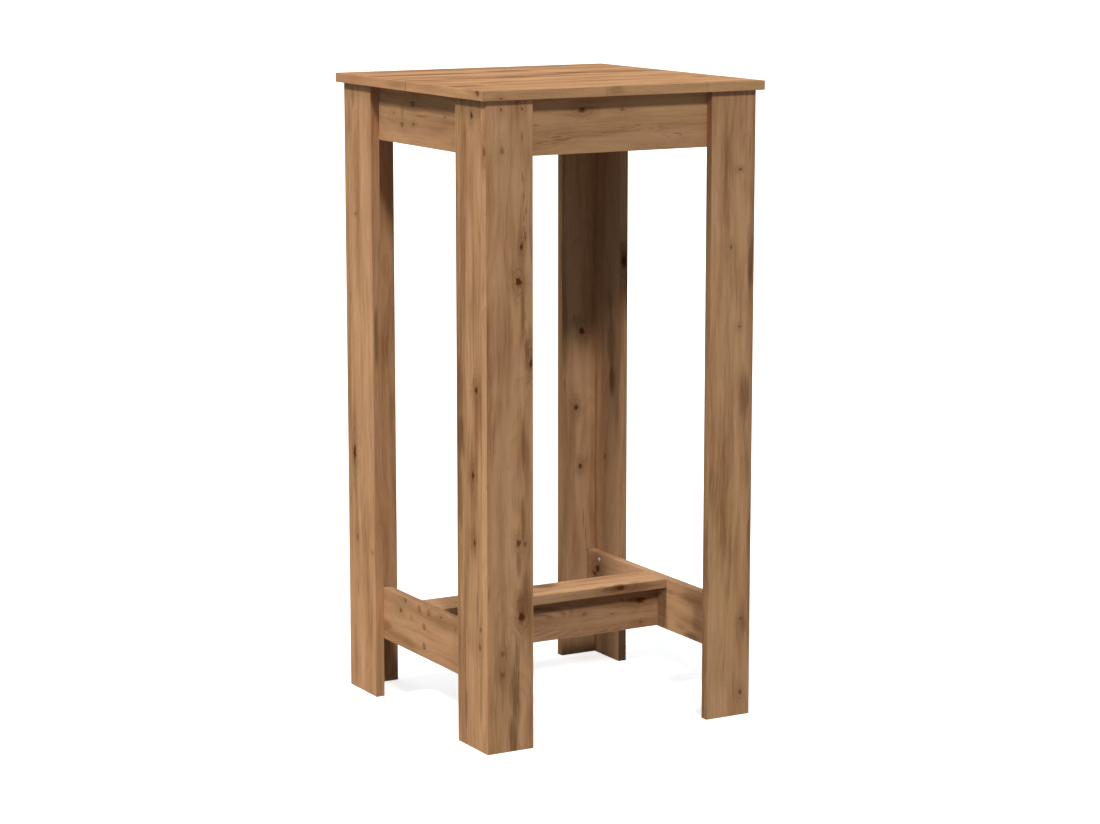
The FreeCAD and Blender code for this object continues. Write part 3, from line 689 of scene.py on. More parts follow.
def oak_group(oak):
    """Plain-sawn oak: broad soft bands, cloudy patches, fine fibres, thin dark lines, rings and pores.

    The rings are the distance from a line that slopes away under the face, cut into equal steps.
    """
    slow_sway, quick_sway, heart_depth, heart_sway = 34, 8, 14.0, 60
    ring_share, line_share, pore_share, halo_share, core_share = 0.24, 0.22, 0.22, 0.72, 0.95
    sheet, given, results = new_group(
        "Oak figure",
        ("Along", "Across", "Layer", "Flow", "Swell", "Halo", "Core", "Stain and shade", "Heart", "Slope",
         "Rings", "Figure", "Colour tone"),
        ("Colour", "Roughness", "Height"))
    along, across = given["Along"], given["Across"]

    def pattern(place, offset, length, width, detail=2.0, roughness=0.5):
        """Stripes so long and so wide. Each offset is a layer of noise that follows no other."""
        layer = sheet.plus(given["Layer"], offset)
        return sheet.stripes(along, place, layer, length, width, detail, roughness)

    slow = sheet.spread(pattern(across, 0.0, 330, 90, detail=1.0), slow_sway)
    quick = sheet.spread(pattern(across, 0.0, 75, 24), quick_sway)
    bent = sheet.plus(across, slow, sheet.plus(quick, given["Flow"]))
    broad = sheet.step(pattern(bent, 5.3, 420, 26), 0.3, 0.7)
    patch = sheet.step(pattern(across, 8.7, 110, 34, detail=2.5), 0.3, 0.7)
    medium = sheet.step(pattern(bent, 11.9, 150, 8, detail=2.5), 0.28, 0.72)
    fine = pattern(bent, 17.1, 36, 1.7, detail=3.0, roughness=0.55)
    tint = sheet.step(pattern(bent, 23.6, 170, 30, detail=1.0), 0.3, 0.7)
    lines = sheet.step(pattern(bent, 27.5, 190, 2.6, detail=1.0), 0.66, 0.74)
    pores = sheet.step(pattern(bent, 31.2, 9, 0.6, detail=1.0), 0.6, 0.72)

    sink = sheet.spread(pattern(across, 41.4, 170, 120), heart_sway)
    depth = sheet.plus(sheet.math("MULTIPLY_ADD", along, given["Slope"], heart_depth), sink)
    from_heart = sheet.length(sheet.math("SUBTRACT", bent, given["Heart"]), depth)
    radius = sheet.plus(from_heart, given["Swell"])
    phase = sheet.math("FRACT", sheet.math("DIVIDE", radius, oak.ring_spacing))
    clear = sheet.step(pattern(across, 47.8, 150, 30), 0.42, 0.62)
    late = sheet.times(sheet.step(phase, 0.25, 0.9), sheet.fall(phase, 0.9, 1.0), clear, given["Rings"])

    # The patterns' sum goes from dark through middle to light wood.
    weights = (broad, 0.5), (patch, 0.32), (medium, 0.3), (fine, 0.62)
    value = sheet.plus(*[sheet.spread(part, weight) for part, weight in weights])
    value = sheet.math("MULTIPLY_ADD", value, given["Figure"], 0.5)
    lower = sheet.mix(sheet.math("MULTIPLY", value, 2.0, clamp=True), oak.dark, oak.middle)
    upper = sheet.math("MULTIPLY_ADD", value, 2.0, -1.0, clamp=True)
    wood = sheet.mix(upper, lower, oak.light)
    wood = sheet.mix(1.0, wood, sheet.mix(tint, oak.cool, oak.warm), "MULTIPLY")

    # Rings, lines, pores, stains with some painted shade among them, and halos each brown the wood by a
    # share of their strength.
    browned = (
        sheet.math("MULTIPLY", late, ring_share, clamp=True),
        sheet.times(given["Figure"], line_share, lines),
        sheet.times(pores, pore_share),
        sheet.times(given["Stain and shade"], sheet.step(fine, 0.2, 0.6, start=0.6)),
        sheet.times(given["Halo"], halo_share),
    )
    for share in browned:
        wood = sheet.mix(share, wood, oak.halo)
    wood = sheet.mix(sheet.times(given["Core"], core_share), wood, oak.core)
    sheet.feed(results["Colour"], sheet.mix(1.0, wood, given["Colour tone"], "MULTIPLY"))

    sheet.feed(results["Roughness"], sheet.math("MULTIPLY_ADD", medium, 0.08, 0.72))
    hollow = sheet.largest(pores, given["Core"])
    sheet.feed(results["Height"], sheet.math("SUBTRACT", sheet.times(fine, 0.4), hollow))
    return sheet.tree


def chipboard_group():
    """Pressed wood chips and the dust between them, for cut ends and drilled holes."""
    chips_per_metre, specks_per_metre, chip_share, dust_share = 420.0, 1500.0, 0.7, 0.8
    pale, brown = linear(206, 172, 128), linear(150, 112, 74)
    sheet, _, results = new_group("Chipboard", (), ("Colour", "Roughness", "Height"))
    place = sheet.add("ShaderNodeTexCoord").outputs["Object"]
    chips = sheet.add("ShaderNodeTexVoronoi")
    sheet.feed(chips.inputs["Vector"], place)
    chips.inputs["Scale"].default_value = chips_per_metre
    chip, _, _ = sheet.separate(chips.outputs["Color"])
    dust = sheet.noise(place, detail=3.0, roughness=0.6, scale=specks_per_metre)
    value = sheet.plus(sheet.times(chip, chip_share), sheet.spread(dust, dust_share))
    sheet.feed(results["Colour"], sheet.mix(value, brown, pale))
    sheet.feed(results["Roughness"], 0.85)
    sheet.feed(results["Height"], value)
    return sheet.tree


def shared_groups(oak):
    """Makes the node groups that every board uses, once."""
    if "Oak figure" not in bpy.data.node_groups:
        scattered_knots_group(knot_group())
        streak_group()
        oak_group(oak)
        chipboard_group()


def shade(tone):
    """A tone as a colour: either one number for all three channels, or three."""
    return np.broadcast_to(tone, 3).astype(float).tolist()


def new_material(name):
    """A new node material, the sheet of its nodes and its surface shader."""
    material = bpy.data.materials.new(name)
    material.use_nodes = True
    sheet = NodeSheet(material.node_tree)
    return material, sheet, material.node_tree.nodes["Principled BSDF"]


def join_surface(sheet, shader, colour, roughness, height, depth):
    """Joins a colour, a roughness and a relief of some depth to the surface shader."""
    sheet.feed(shader.inputs["Base Color"], colour)
    sheet.feed(shader.inputs["Roughness"], roughness)
    sheet.feed(shader.inputs["Normal"], sheet.bump(height, depth))


def marks_on(sheet, board, along, across, layer, shown):
    """Adds up a board's knots, streaks and checks on its shown face, and scattered knots on the other.

    Fine noise makes a knot's edge ragged, noise drawn out along the grain makes a streak fibrous, and
    checks are a streak that shows only in short cracks.
    """
    groups = bpy.data.node_groups
    hidden = sheet.math("SUBTRACT", 1.0, shown)
    ragged = sheet.spread(sheet.stripes(along, across, layer, 7, 3, detail=3.0))
    fibrous_layer = sheet.plus(layer, 3.9)
    fibrous = sheet.spread(sheet.stripes(along, across, fibrous_layer, 50, 2.4, detail=3.0))
    cracks = sheet.step(sheet.stripes(along, across, layer, 13, 1.9), 0.48, 0.66)
    strewn = sheet.group(
        groups["Scattered knots"], along=along, across=across, layer=layer, ragged=ragged)
    totals = {name: sheet.times(strewn[name], hidden) for name in ("Flow", "Swell", "Halo", "Core")}
    totals["Stain and shade"] = 0.0
    for mark in board.marks:
        off_along = sheet.math("SUBTRACT", along, mark.along)
        off_across = sheet.math("SUBTRACT", across, mark.across)
        if isinstance(mark, Knot):
            made = sheet.group(
                groups["Knot"], along=off_along, across=off_across,
                width=mark.width, stretch=mark.stretch, ragged=ragged)
            for name in ("Flow", "Swell"):
                totals[name] = sheet.math("MULTIPLY_ADD", made[name], shown, totals[name])
            for name in ("Halo", "Core"):
                dark = sheet.times(made[name], shown, mark.dark)
                totals[name] = sheet.largest(dark, totals[name])
        else:
            stain_and_shade = sheet.group(
                groups["Dark streak"], along=off_along, across=off_across,
                length=mark.length, width=mark.width, ragged=fibrous)["Stain and shade"]
            if isinstance(mark, Checks):
                stain_and_shade = sheet.times(stain_and_shade, cracks)
            totals["Stain and shade"] = sheet.largest(sheet.times(stain_and_shade, shown, mark.dark), totals["Stain and shade"])
    return totals


def oak_figure(sheet, board, along, across, layer, shown):
    """The oak figure of a board or a band, with its marks in it."""
    marks = marks_on(sheet, board, along, across, layer, shown)
    return sheet.group(
        bpy.data.node_groups["Oak figure"], along=along, across=across, layer=layer,
        heart=board.heart, slope=board.slope, rings=board.rings, figure=board.figure,
        colour_tone=shade(board.tone), **{name.lower(): total for name, total in marks.items()})


def board_material(name, board, oak):
    """Oak foil on a board's two faces, and chipboard where the board is cut or drilled."""
    material, sheet, shader = new_material(f"oak {name}".replace("_", " "))
    place = sheet.add("ShaderNodeTexCoord")
    metres = sheet.separate(place.outputs["Object"])
    along = sheet.math("DIVIDE", metres[board.grain], MILLIMETRE)
    across = sheet.math("DIVIDE", metres[board.width], MILLIMETRE)
    low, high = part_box(name)
    middle = (low[board.thickness] + high[board.thickness]) / 2
    beyond = sheet.math("GREATER_THAN", metres[board.thickness], middle)
    shown = beyond if board.face > 0 else sheet.math("SUBTRACT", 1.0, beyond)
    layer = sheet.math("MULTIPLY_ADD", beyond, OTHER_FACE, board.seed)
    figure = oak_figure(sheet, board, along, across, layer, shown)
    chips = sheet.group(bpy.data.node_groups["Chipboard"])
    facing = sheet.separate(place.outputs["Normal"])[board.thickness]
    faced = sheet.math("GREATER_THAN", sheet.math("ABSOLUTE", facing), 0.5)
    colour = sheet.mix(faced, chips["Colour"], figure["Colour"])
    roughness = sheet.blend(faced, chips["Roughness"], figure["Roughness"])
    height = sheet.blend(faced, chips["Height"], figure["Height"])
    join_surface(sheet, shader, colour, roughness, height, oak.pore_depth)
    shader.inputs["Specular IOR Level"].default_value = WOOD_GLOSS
    return material


def band_material(name, band, oak):
    """The thin printed strip on a board's edge, with its grain along the edge."""
    material, sheet, shader = new_material(f"band {name}".replace("_", " "))
    metres = sheet.separate(sheet.add("ShaderNodeTexCoord").outputs["Object"])
    places = [sheet.math("DIVIDE", metre, MILLIMETRE) for metre in metres]
    first, second = [axis for axis in (X, Y, Z) if axis != band.grain]
    turned = sheet.math("GREATER_THAN", sheet.math("ABSOLUTE", places[band.grain]), band.turn)
    shift = sheet.times(turned, sheet.math("SUBTRACT", places[first], places[band.grain]))
    along = sheet.plus(places[band.grain], shift)
    both = sheet.plus(places[first], places[second])
    across = sheet.math("MULTIPLY_ADD", turned, ROUND_THE_CORNER, sheet.math("SUBTRACT", both, shift))
    figure = oak_figure(sheet, band, along, across, band.seed, 1.0)
    join_surface(sheet, shader, figure["Colour"], figure["Roughness"], figure["Height"], oak.pore_depth)
    shader.inputs["Specular IOR Level"].default_value = WOOD_GLOSS
    return material


def metal_material(name, colour, roughness, scale, bite):
    """Metal whose shade and gloss wander a little, with a fine grain of casting or plating."""
    material, sheet, shader = new_material(name)
    place = sheet.add("ShaderNodeTexCoord").outputs["Object"]
    cloud = sheet.noise(place, detail=3.0, roughness=0.6, scale=scale)
    grain = sheet.noise(place, scale=4 * scale)
    dull = tuple(0.72 * value for value in colour)
    cloudy = sheet.mix(sheet.step(cloud, 0.3, 0.7), dull, colour)
    join_surface(sheet, shader, cloudy, sheet.math("MULTIPLY_ADD", cloud, 0.2, roughness), grain, bite)
    shader.inputs["Metallic"].default_value = 1.0
    return material


def beech_material(name, axis, colour):
    """Turned beech: fine fibres along the dowel and short dark rays."""
    along_rate, across_rate, relief = 60.0, 900.0, 0.05 * MILLIMETRE
    material, sheet, shader = new_material(name)
    place = sheet.separate(sheet.add("ShaderNodeTexCoord").outputs["Object"])
    rates = [along_rate if index == axis else across_rate for index in (X, Y, Z)]
    drawn = sheet.combine(*[sheet.times(value, rate) for value, rate in zip(place, rates)])
    fibres = sheet.noise(drawn, detail=3.0, roughness=0.6)
    rays = sheet.step(sheet.noise(drawn, detail=1.0, scale=2.3), 0.62, 0.7)
    brown = tuple(0.6 * value for value in colour)
    deep = tuple(0.85 * value for value in colour)
    wood = sheet.mix(sheet.step(fibres, 0.3, 0.7), deep, colour)
    wood = sheet.mix(sheet.times(rays, 0.6), wood, brown)
    join_surface(sheet, shader, wood, sheet.math("MULTIPLY_ADD", fibres, 0.1, 0.6), fibres, relief)
    return material


def plastic_material(name, colour):
    """Moulded plastic with a fine matt texture."""
    relief = 0.02 * MILLIMETRE
    material, sheet, shader = new_material(name)
    place = sheet.add("ShaderNodeTexCoord").outputs["Object"]
    speck = sheet.noise(place, scale=2500.0)
    cloud = sheet.noise(place, scale=120.0)
    worn = tuple(0.85 * value for value in colour)
    mottled = sheet.mix(cloud, worn, colour)
    join_surface(sheet, shader, mottled, sheet.math("MULTIPLY_ADD", speck, 0.15, 0.55), speck, relief)
    shader.inputs["Specular IOR Level"].default_value = PLASTIC_GLOSS
    return material


def put_on(node_name, material):
    """Gives a node of the frame its one material."""
    mesh = nodes[node_name].data
    mesh.materials.clear()
    mesh.materials.append(material)


def dress_wood(settings, *starts):
    """Finishes each board and edge band whose name starts with one of the words given."""
    shared_groups(settings.oak)
    for name, board in BOARDS.items():
        if name.startswith(starts):
            put_on(name, board_material(name, board, settings.oak))
    for name, band in BANDS.items():
        if name.startswith(starts):
            put_on(name, band_material(name, band, settings.oak))


def solids_of(name):
    """The separate solids of a node, each as an array of its corners.

    Corners in one place are merged. Then each triangle gives its lowest label to its three corners,
    over and over, until every solid has one label.
    """
    mesh = nodes[name].data
    points = np.empty(3 * len(mesh.vertices))
    mesh.vertices.foreach_get("co", points)
    corners = np.empty(len(mesh.loops), dtype=np.int32)
    mesh.loops.foreach_get("vertex_index", corners)
    places, merged = np.unique(points.reshape(-1, 3).round(6), axis=0, return_inverse=True)
    triangles = merged.reshape(-1)[corners].reshape(-1, 3)
    labels = np.arange(len(places))
    while True:
        lowest = labels.copy()
        np.minimum.at(lowest, triangles, labels[triangles].min(axis=1, keepdims=True))
        if np.array_equal(lowest, labels):
            break
        labels = lowest
    return [places[labels == label] for label in np.unique(labels)]


def seat_of(corners, flat=False):
    """Where a fitting starts, its three directions, and its length and width, from its solid's corners.

    It lies along the longest side of its box, or the shortest for a flat one, and starts at its wider end.
    """
    beside = 0.1 * MILLIMETRE
    low, high = corners.min(axis=0), corners.max(axis=0)
    size = high - low
    axis = int(size.argmin() if flat else size.argmax())
    start = (low + high) / 2
    out = np.linalg.norm(np.delete(corners - start, axis, axis=1), axis=1)
    ends = [out[abs(corners[:, axis] - end) < beside].max() for end in (low[axis], high[axis])]
    forward = 1.0 if ends[0] >= ends[1] else -1.0
    start[axis] -= forward * size[axis] / 2
    sides = np.zeros((3, 3))
    sides[0, (axis + 1) % 3] = 1.0
    sides[1, (axis + 2) % 3] = forward
    sides[2, axis] = forward
    return start, sides, size[axis], np.delete(size, axis).max()


def rise(value, low, high):
    """A smooth step from 0 to 1 as the value goes from low to high."""
    share = np.clip((value - low) / (high - low), 0, 1)
    return share * share * (3 - 2 * share)


def thread(angle, along, pitch):
    """How high a thread stands, 0 to 1: a crest that climbs one pitch a turn and slopes away each side."""
    slope_share = 0.3
    phase = (along / pitch - angle / (2 * math.pi)) % 1
    return np.clip(1 - np.abs(phase - 0.5) / slope_share, 0, 1)


def full_rows(rows, angle):
    """A column of values, one for each row, spread over all the angles."""
    return np.broadcast_to(np.asarray(rows)[:, None], (len(rows), len(angle)))


def wood_screw(angle, length, width, pitch):
    """A countersunk wood screw, as the distance out and along of rows from its head's middle to its point.

    The head is flat, with a cross sunk into it: deep where a place is near either of two crossed lines.
    A cone leads to a plain neck, and then a thread stands on a core that tapers away at the point.
    """
    head_rows, rows_a_turn = 8, 7
    out = full_rows(np.linspace(0.12, 1, head_rows) * width / 2, angle)
    x, y = np.abs(out * np.cos(angle)), np.abs(out * np.sin(angle))
    arm, reach, depth = 0.07 * width, 0.25 * width, 0.18 * width
    on_a_line = 1 - rise(np.minimum(x, y), arm * 0.6, arm * 1.2)
    within = 1 - rise(np.maximum(x, y), reach * 0.8, reach)
    top = on_a_line * within * depth
    cone, core, crest, point = 0.31 * width, 0.17 * width, 0.25 * width, 0.16 * length
    worm_rows = np.arange(1.5 * cone, length, pitch / rows_a_turn)
    along = np.concatenate(([0.5 * cone, cone, 1.3 * cone], worm_rows))
    body = full_rows(along, angle)
    flank = width / 2 - (width / 2 - core * 1.25) * np.clip(body / cone, 0, 1)
    worm = core + (crest - core) * thread(angle, body, pitch) * rise(body, 2.2 * cone, 3.2 * cone)
    taper = np.clip((length - body) / point, 0.04, 1)
    shank = np.where(body < 1.4 * cone, flank, worm) * taper
    return np.concatenate((out, shank)), np.concatenate((top, body))


def joint_screw(angle, length, width, pitch):
    """A joint screw: a cone-shaped head with a six-sided socket, a plain shank and a coarse thread.

    The socket's rows keep one distance from its flats: their reach is that distance over the largest
    cosine of the angle to a flat. The rows outside it are round.
    """
    facings = np.arange(6) * math.pi / 3
    flats = np.cos(angle[:, None] - facings).max(axis=1)
    half, depth = 0.2 * width, 0.3 * width
    rows = np.array([0.4, 0.95, 1.0, 1.05]) * half
    socket = rows[:, None] / flats
    socket_top = full_rows([depth, depth, 0.5 * depth, 0], angle)
    rim = full_rows(np.array([0.64, 0.82, 1.0]) * width / 2, angle)
    cone, shank_end = 0.3 * width, 0.3 * length
    core, crest, neck = 0.22 * width, 0.315 * width, 0.35 * width
    rows_a_turn = 9
    worm_rows = np.arange(1.02 * shank_end, length, pitch / rows_a_turn)
    along = np.concatenate(([0.5 * cone, cone, 0.6 * shank_end, shank_end], worm_rows))
    body = full_rows(along, angle)
    flank = width / 2 - (width / 2 - neck) * np.clip(body / cone, 0, 1)
    worm = core + (crest - core) * thread(angle, body, pitch)
    blunt = 1 - 0.35 * rise(body, 0.95 * length, length)
    shank = np.where(body <= shank_end, flank, worm * blunt)
    out = np.concatenate((socket, rim, shank))
    return out, np.concatenate((socket_top, np.zeros_like(rim), body))


def cam_bolt(angle, length, width, pitch):
    """A cam lock's bolt: a round-edged head, a thin neck, a plain shank, and a thread at the other end.

    It is a profile turned about the axis, apart from the thread, which climbs one pitch a turn.
    The profile's points are shares of the length and of half the width.
    """
    half, thread_start, tip = width / 2, 0.69 * length, 0.97 * length
    profile = np.array((
        (0.0, 0.5), (0.02, 0.85), (0.04, 0.97), (0.07, 0.97), (0.085, 0.85),
        (0.1, 0.5), (0.2, 0.5), (0.22, 0.76), (0.68, 0.76),
    ))
    rows_a_turn = 8
    worm_rows = np.arange(thread_start, length, pitch / rows_a_turn)
    along = np.concatenate((profile[:, 0] * length, worm_rows))
    body = full_rows(along, angle)
    smooth = full_rows(np.interp(along / length, profile[:, 0], profile[:, 1]) * half, angle)
    worm = half * (0.66 + 0.26 * thread(angle, body, pitch)) * (1 - 0.4 * rise(body, tip, length))
    return np.where(body < thread_start, smooth, worm), body


def dowel(angle, length, width, flutes, flute_depth):
    """A fluted dowel: a round rod whose grooves follow a cosine of the angle, with both ends bevelled."""
    bevel = 0.125 * width
    near_end = np.array([0, 0.5, 1, 2]) * bevel
    body = full_rows(np.concatenate((near_end, length - near_end[::-1])), angle)
    groove = flute_depth * (0.5 + 0.5 * np.cos(flutes * angle)) ** 2
    end = width / 2 - bevel + np.minimum(body, length - body)
    return np.minimum(width / 2 - groove, end), body


def screw_cap(angle, length, width, crown):
    """A cap: a low dome whose height falls with the square of the distance out, on a ribbed stem.

    A fine groove runs round the dome near its rim, and the rim turns over in a quarter round. The ribs
    follow a cosine of the angle.
    """
    rib_count, rib_depth = 6, 0.06
    half, disc, stem = width / 2, 0.286 * length, 0.15 * width
    out = np.array([0.1, 0.3, 0.5, 0.66, 0.7, 0.74, 0.82, 0.9, 0.96, 1.0, 1.0]) * half
    roll = np.array([0, 0, 0, 0, 0.06, 0, 0, 0.06, 0.25, 0.6, 1.0]) * disc
    top = full_rows(roll, angle) + crown * (full_rows(out, angle) / half) ** 2
    top = np.minimum(top, disc)
    under = np.array([1.0, 0.97, 0.95, 0.6]) * stem
    depth = np.array([disc, 0.5 * (disc + length), 0.94 * length, length])
    ribs = 1 - rib_depth * (0.5 + 0.5 * np.cos(rib_count * angle))
    rows = np.concatenate((full_rows(out, angle), full_rows(under, angle) * ribs))
    return rows, np.concatenate((top, full_rows(depth, angle)))


def closed_surface(out, along, angle):
    """Corners and faces of a surface given as rows round an axis, closed with a point at each end.

    A corner lies at its distance out times the cosine and the sine of its angle, and at its place along.
    """
    rows, columns = out.shape
    ring = np.stack((out * np.cos(angle), out * np.sin(angle), along), axis=-1).reshape(-1, 3)
    poles = np.array(((0, 0, along[0].mean()), (0, 0, along[-1].mean())))
    grid = np.arange(rows * columns).reshape(rows, columns)
    ahead = np.roll(grid, -1, axis=1)
    quads = np.stack((grid[:-1], ahead[:-1], ahead[1:], grid[1:]), axis=-1).reshape(-1, 4)
    first, last = rows * columns, rows * columns + 1
    start = np.stack((np.full(columns, first), ahead[0], grid[0]), axis=-1)
    end = np.stack((np.full(columns, last), grid[-1], ahead[-1]), axis=-1)
    return np.concatenate((ring, poles)), [quads, start, end]


def turned_piece(name, node_name, slot, material, columns, shape, *sizes, flat=False):
    """One piece that stands for a node of fittings, with a turned one in the place of each solid."""
    angle = np.linspace(0, 2 * math.pi, columns, endpoint=False)
    points, faces, count = [], [], 0
    for corners in solids_of(node_name):
        start, sides, length, width = seat_of(corners, flat)
        local, parts = closed_surface(*shape(angle, length, width, *sizes), angle)
        points.append(start + local @ sides)
        for part in parts:
            faces += (part + count).tolist()
        count += len(local)
    mesh = bpy.data.meshes.new(name)
    mesh.from_pydata(np.concatenate(points).tolist(), [], faces)
    mesh.shade_smooth()
    mesh.set_sharp_from_angle(angle=SHARP_ANGLE)
    mesh.materials.append(material)
    piece = bpy.data.objects.new(name, mesh)
    bpy.context.scene.collection.objects.link(piece)
    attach(piece, "root")
    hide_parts(node_name)


class BARTABLE_OT_top(bpy.types.Operator):
    """Finish the table top and its edge bands"""

    bl_idname = "bar_table.top"
    bl_label = "Table top"
    bl_options = {"REGISTER", "UNDO"}

    def execute(self, context):
        dress_wood(context.scene.bar_table, "table_top", "top_edge")
        return {"FINISHED"}


class BARTABLE_OT_legs(bpy.types.Operator):
    """Finish the boards and bands of the four legs"""

    bl_idname = "bar_table.legs"
    bl_label = "Legs"
    bl_options = {"REGISTER", "UNDO"}

    def execute(self, context):
        legs = [f"{end}_{side}_leg" for end in ("front", "back") for side in ("left", "right")]
        dress_wood(context.scene.bar_table, *legs)
        return {"FINISHED"}


class BARTABLE_OT_aprons(bpy.types.Operator):
    """Finish the four apron boards and their bands"""

    bl_idname = "bar_table.aprons"
    bl_label = "Aprons"
    bl_options = {"REGISTER", "UNDO"}

    def execute(self, context):
        aprons = [f"{side}_apron" for side in ("front", "back", "left", "right")]
        dress_wood(context.scene.bar_table, *aprons, "apron_edge")
        return {"FINISHED"}


class BARTABLE_OT_stretchers(bpy.types.Operator):
    """Finish the two side stretchers and their bands"""

    bl_idname = "bar_table.stretchers"
    bl_label = "Stretchers"
    bl_options = {"REGISTER", "UNDO"}

    def execute(self, context):
        dress_wood(context.scene.bar_table, "left_stretcher", "right_stretcher", "stretcher_edge")
        return {"FINISHED"}


class BARTABLE_OT_footrest(bpy.types.Operator):
    """Finish the footrest's board, rail and bands"""

    bl_idname = "bar_table.footrest"
    bl_label = "Footrest"
    bl_options = {"REGISTER", "UNDO"}

    def execute(self, context):
        dress_wood(context.scene.bar_table, "footrest_board", "footrest_rail", "footrest_edge")
        return {"FINISHED"}


class BARTABLE_OT_dowels(bpy.types.Operator):
    """Make the fluted beech dowels"""

    bl_idname = "bar_table.dowels"
    bl_label = "Dowels"
    bl_options = {"REGISTER", "UNDO"}

    def execute(self, context):
        fittings = context.scene.bar_table.fittings
        columns = COLUMNS_PER_FLUTE * fittings.flutes
        for place, axis in (("leg", Y), ("top", Z), ("footrest", Z)):
            beech = beech_material(f"beech {place} dowels", axis, fittings.beech)
            turned_piece(
                f"fluted_{place}_dowels", f"{place}_dowels", "beech", beech, columns,
                dowel, fittings.flutes, fittings.flute_depth)
        return {"FINISHED"}


class BARTABLE_OT_cam_locks(bpy.types.Operator):
    """Finish the cam locks and make their threaded bolts"""

    bl_idname = "bar_table.cam_locks"
    bl_label = "Cam locks"
    bl_options = {"REGISTER", "UNDO"}

    def execute(self, context):
        fittings = context.scene.bar_table.fittings
        zinc = metal_material(
            "cast zinc", fittings.zinc, roughness=0.35, scale=300.0, bite=0.04 * MILLIMETRE)
        steel = metal_material(
            "plated bolt steel", fittings.steel, roughness=0.25, scale=180.0, bite=0.01 * MILLIMETRE)
        for place in ("leg", "top"):
            put_on(f"{place}_cam_locks", zinc)
            turned_piece(
                f"threaded_{place}_cam_bolts", f"{place}_cam_bolts", "plated_steel", steel, BOLT_COLUMNS,
                cam_bolt, fittings.bolt_pitch)
        return {"FINISHED"}


class BARTABLE_OT_screws(bpy.types.Operator):
    """Make the threaded screws of the aprons, the stretchers and the footrest"""

    bl_idname = "bar_table.screws"
    bl_label = "Screws"
    bl_options = {"REGISTER", "UNDO"}

    def execute(self, context):
        fittings = context.scene.bar_table.fittings
        steel = metal_material(
            "plated screw steel", fittings.steel, roughness=0.3, scale=180.0, bite=0.01 * MILLIMETRE)
        for place in ("apron", "stretcher"):
            turned_piece(
                f"threaded_{place}_screws", f"{place}_screws", "plated_steel", steel, SCREW_COLUMNS,
                wood_screw, fittings.screw_pitch)
        turned_piece(
            "threaded_footrest_screws", "footrest_screws", "plated_steel", steel, JOINT_SCREW_COLUMNS,
            joint_screw, fittings.joint_screw_pitch)
        return {"FINISHED"}


class BARTABLE_OT_screw_caps(bpy.types.Operator):
    """Make the crowned caps over the footrest's joint screws"""

    bl_idname = "bar_table.screw_caps"
    bl_label = "Screw caps"
    bl_options = {"REGISTER", "UNDO"}

    def execute(self, context):
        fittings = context.scene.bar_table.fittings
        plastic = plastic_material("cap plastic", fittings.plastic)
        turned_piece(
            "crowned_screw_caps", "footrest_screw_caps", "cap_plastic", plastic, CAP_COLUMNS,
            screw_cap, fittings.cap_crown, flat=True)
        return {"FINISHED"}


def floor_mesh(size):
    """A flat square grid: x and y each go from minus half to plus half the size in even steps."""
    steps = np.linspace(-size / 2, size / 2, 3)
    x, y = np.meshgrid(steps, steps)
    points = np.stack((x, y, np.zeros_like(x)), axis=-1).reshape(-1, 3)
    index = np.arange(x.size).reshape(x.shape)
    corners = index[:-1, :-1], index[:-1, 1:], index[1:, 1:], index[1:, :-1]
    faces = np.stack(corners, axis=-1).reshape(-1, 4)
    mesh = bpy.data.meshes.new("floor")
    mesh.from_pydata(points.tolist(), [], faces.tolist())
    return mesh


def seen_directly(sheet):
    """One for rays that show the backdrop itself: the camera's, reflected and transmitted ones."""
    path = sheet.add("ShaderNodeLightPath")
    kinds = ("Camera", "Glossy", "Transmission")
    return sheet.largest(*[path.outputs[f"Is {kind} Ray"] for kind in kinds])


def floor_material(lift, bounce):
    """A pale matt floor, shown paler than it is lit, so that only the table's shadow stands out."""
    material, sheet, shader = new_material("pale floor")
    place = sheet.add("ShaderNodeTexCoord").outputs["Object"]
    cloud = sheet.noise(place, scale=3.0)
    direct = seen_directly(sheet)
    pale = sheet.mix(cloud, (0.80, 0.80, 0.80), (0.82, 0.82, 0.82))
    sheet.feed(shader.inputs["Base Color"], sheet.mix(direct, (bounce, bounce, bounce), pale))
    shader.inputs["Roughness"].default_value = 0.9
    shader.inputs["Specular IOR Level"].default_value = 0.1
    shader.inputs["Emission Color"].default_value = (1, 1, 1, 1)
    sheet.feed(shader.inputs["Emission Strength"], sheet.times(direct, lift))
    return material


def white_world(room_light, room_colour):
    """A world that lights the table evenly and shows as plain white."""
    world = bpy.data.worlds.new("studio")
    world.use_nodes = True
    sheet = NodeSheet(world.node_tree)
    background = world.node_tree.nodes["Background"]
    direct = seen_directly(sheet)
    sheet.feed(background.inputs["Color"], sheet.mix(direct, room_colour, (1, 1, 1)))
    sheet.feed(background.inputs["Strength"], sheet.blend(direct, room_light, 1.0))
    return world


def add_lamp(lamp, share, colour):
    """A soft distant lamp. A share of one, straight on a white surface, lights it to plain white."""
    light = bpy.data.lights.new(lamp.name, "SUN")
    light.energy = math.pi * share
    light.color = colour
    light.angle = math.radians(lamp.width)
    holder = bpy.data.objects.new(lamp.name, light)
    holder.rotation_euler = (math.radians(90 - lamp.height), 0, math.radians(lamp.heading))
    bpy.context.scene.collection.objects.link(holder)


def add_camera(stage):
    """A camera that looks at the table from its front left, and a little down."""
    lens = bpy.data.cameras.new("camera")
    lens.lens = stage.lens
    camera = bpy.data.objects.new("camera", lens)
    camera.location = stage.camera_place
    camera.rotation_euler = (stage.camera_pitch, 0, stage.camera_heading)
    bpy.context.scene.collection.objects.link(camera)
    bpy.context.scene.camera = camera


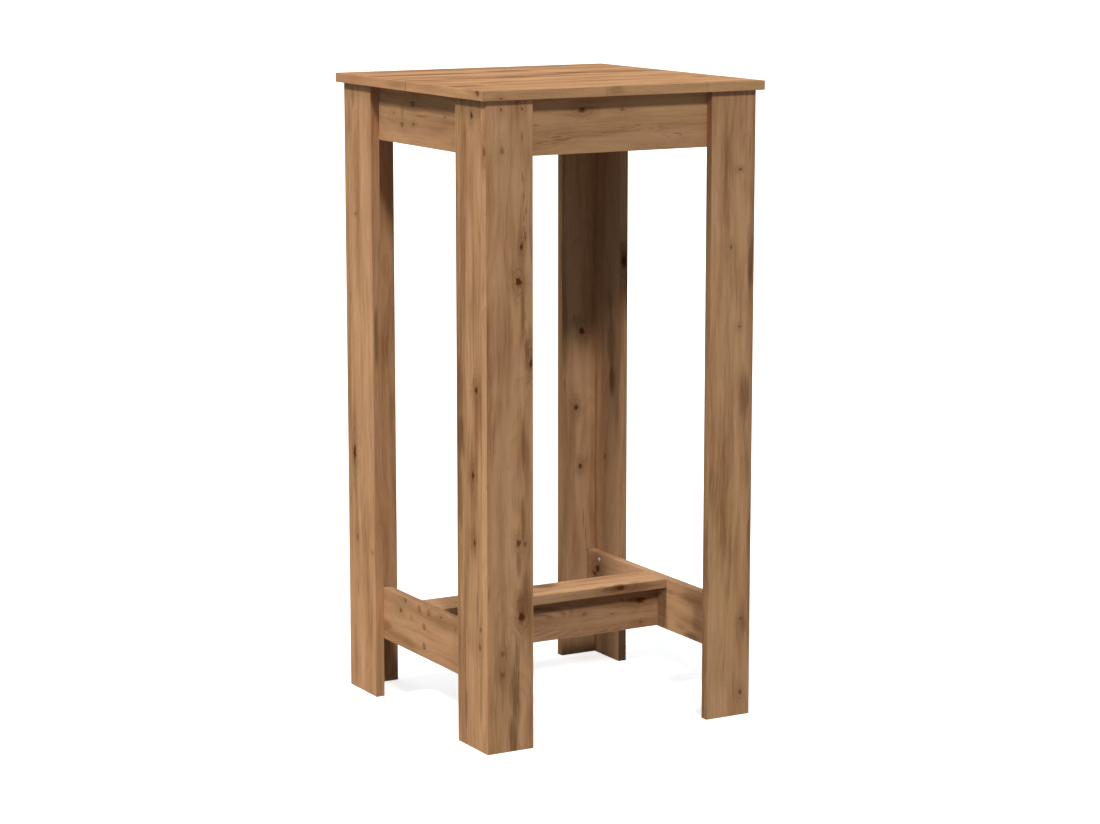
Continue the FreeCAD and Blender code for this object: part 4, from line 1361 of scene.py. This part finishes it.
class BARTABLE_OT_stage(bpy.types.Operator):
    """Set the floor, the lamps, the white surroundings and the camera"""

    bl_idname = "bar_table.stage"
    bl_label = "Stage"
    bl_options = {"REGISTER", "UNDO"}

    def execute(self, context):
        scene = context.scene
        stage = scene.bar_table.stage
        floor = bpy.data.objects.new("floor", floor_mesh(stage.floor_size))
        floor.data.materials.append(floor_material(stage.floor_lift, stage.floor_bounce))
        scene.collection.objects.link(floor)
        scene.world = white_world(stage.room_light, tuple(stage.room_colour))
        for lamp in LAMPS:
            add_lamp(lamp, getattr(stage, lamp.light), stage.lamp_colour)
        add_camera(stage)
        scene.view_settings.view_transform = "Standard"
        return {"FINISHED"}


OPERATORS = (
    BARTABLE_OT_top,
    BARTABLE_OT_legs,
    BARTABLE_OT_aprons,
    BARTABLE_OT_stretchers,
    BARTABLE_OT_footrest,
    BARTABLE_OT_dowels,
    BARTABLE_OT_cam_locks,
    BARTABLE_OT_screws,
    BARTABLE_OT_screw_caps,
    BARTABLE_OT_stage,
)


class BARTABLE_PT_panel(bpy.types.Panel):
    """The table's pieces and settings"""

    bl_idname = "BARTABLE_PT_panel"
    bl_label = "Bar table"
    bl_space_type = "VIEW_3D"
    bl_region_type = "UI"
    bl_category = "Bar table"

    def draw(self, context):
        for operator in OPERATORS:
            self.layout.operator(operator.bl_idname)
        settings = context.scene.bar_table
        for group in (settings.oak, settings.fittings, settings.stage):
            box = self.layout.box()
            for name in group.__annotations__:
                box.prop(group, name)


CLASSES = (OakSettings, FittingSettings, StageSettings, BarTableSettings, *OPERATORS, BARTABLE_PT_panel)


def register():
    for kind in CLASSES:
        bpy.utils.register_class(kind)
    bpy.types.Scene.bar_table = PointerProperty(
        name="Bar table", description="All that a user may change", type=BarTableSettings)


def unregister():
    del bpy.types.Scene.bar_table
    for kind in reversed(CLASSES):
        bpy.utils.unregister_class(kind)


def main():
    """Makes everything in order."""
    register()
    bpy.ops.bar_table.top()
    bpy.ops.bar_table.legs()
    bpy.ops.bar_table.aprons()
    bpy.ops.bar_table.stretchers()
    bpy.ops.bar_table.footrest()
    bpy.ops.bar_table.dowels()
    bpy.ops.bar_table.cam_locks()
    bpy.ops.bar_table.screws()
    bpy.ops.bar_table.screw_caps()
    bpy.ops.bar_table.stage()


if __name__ == "__main__":
    main()
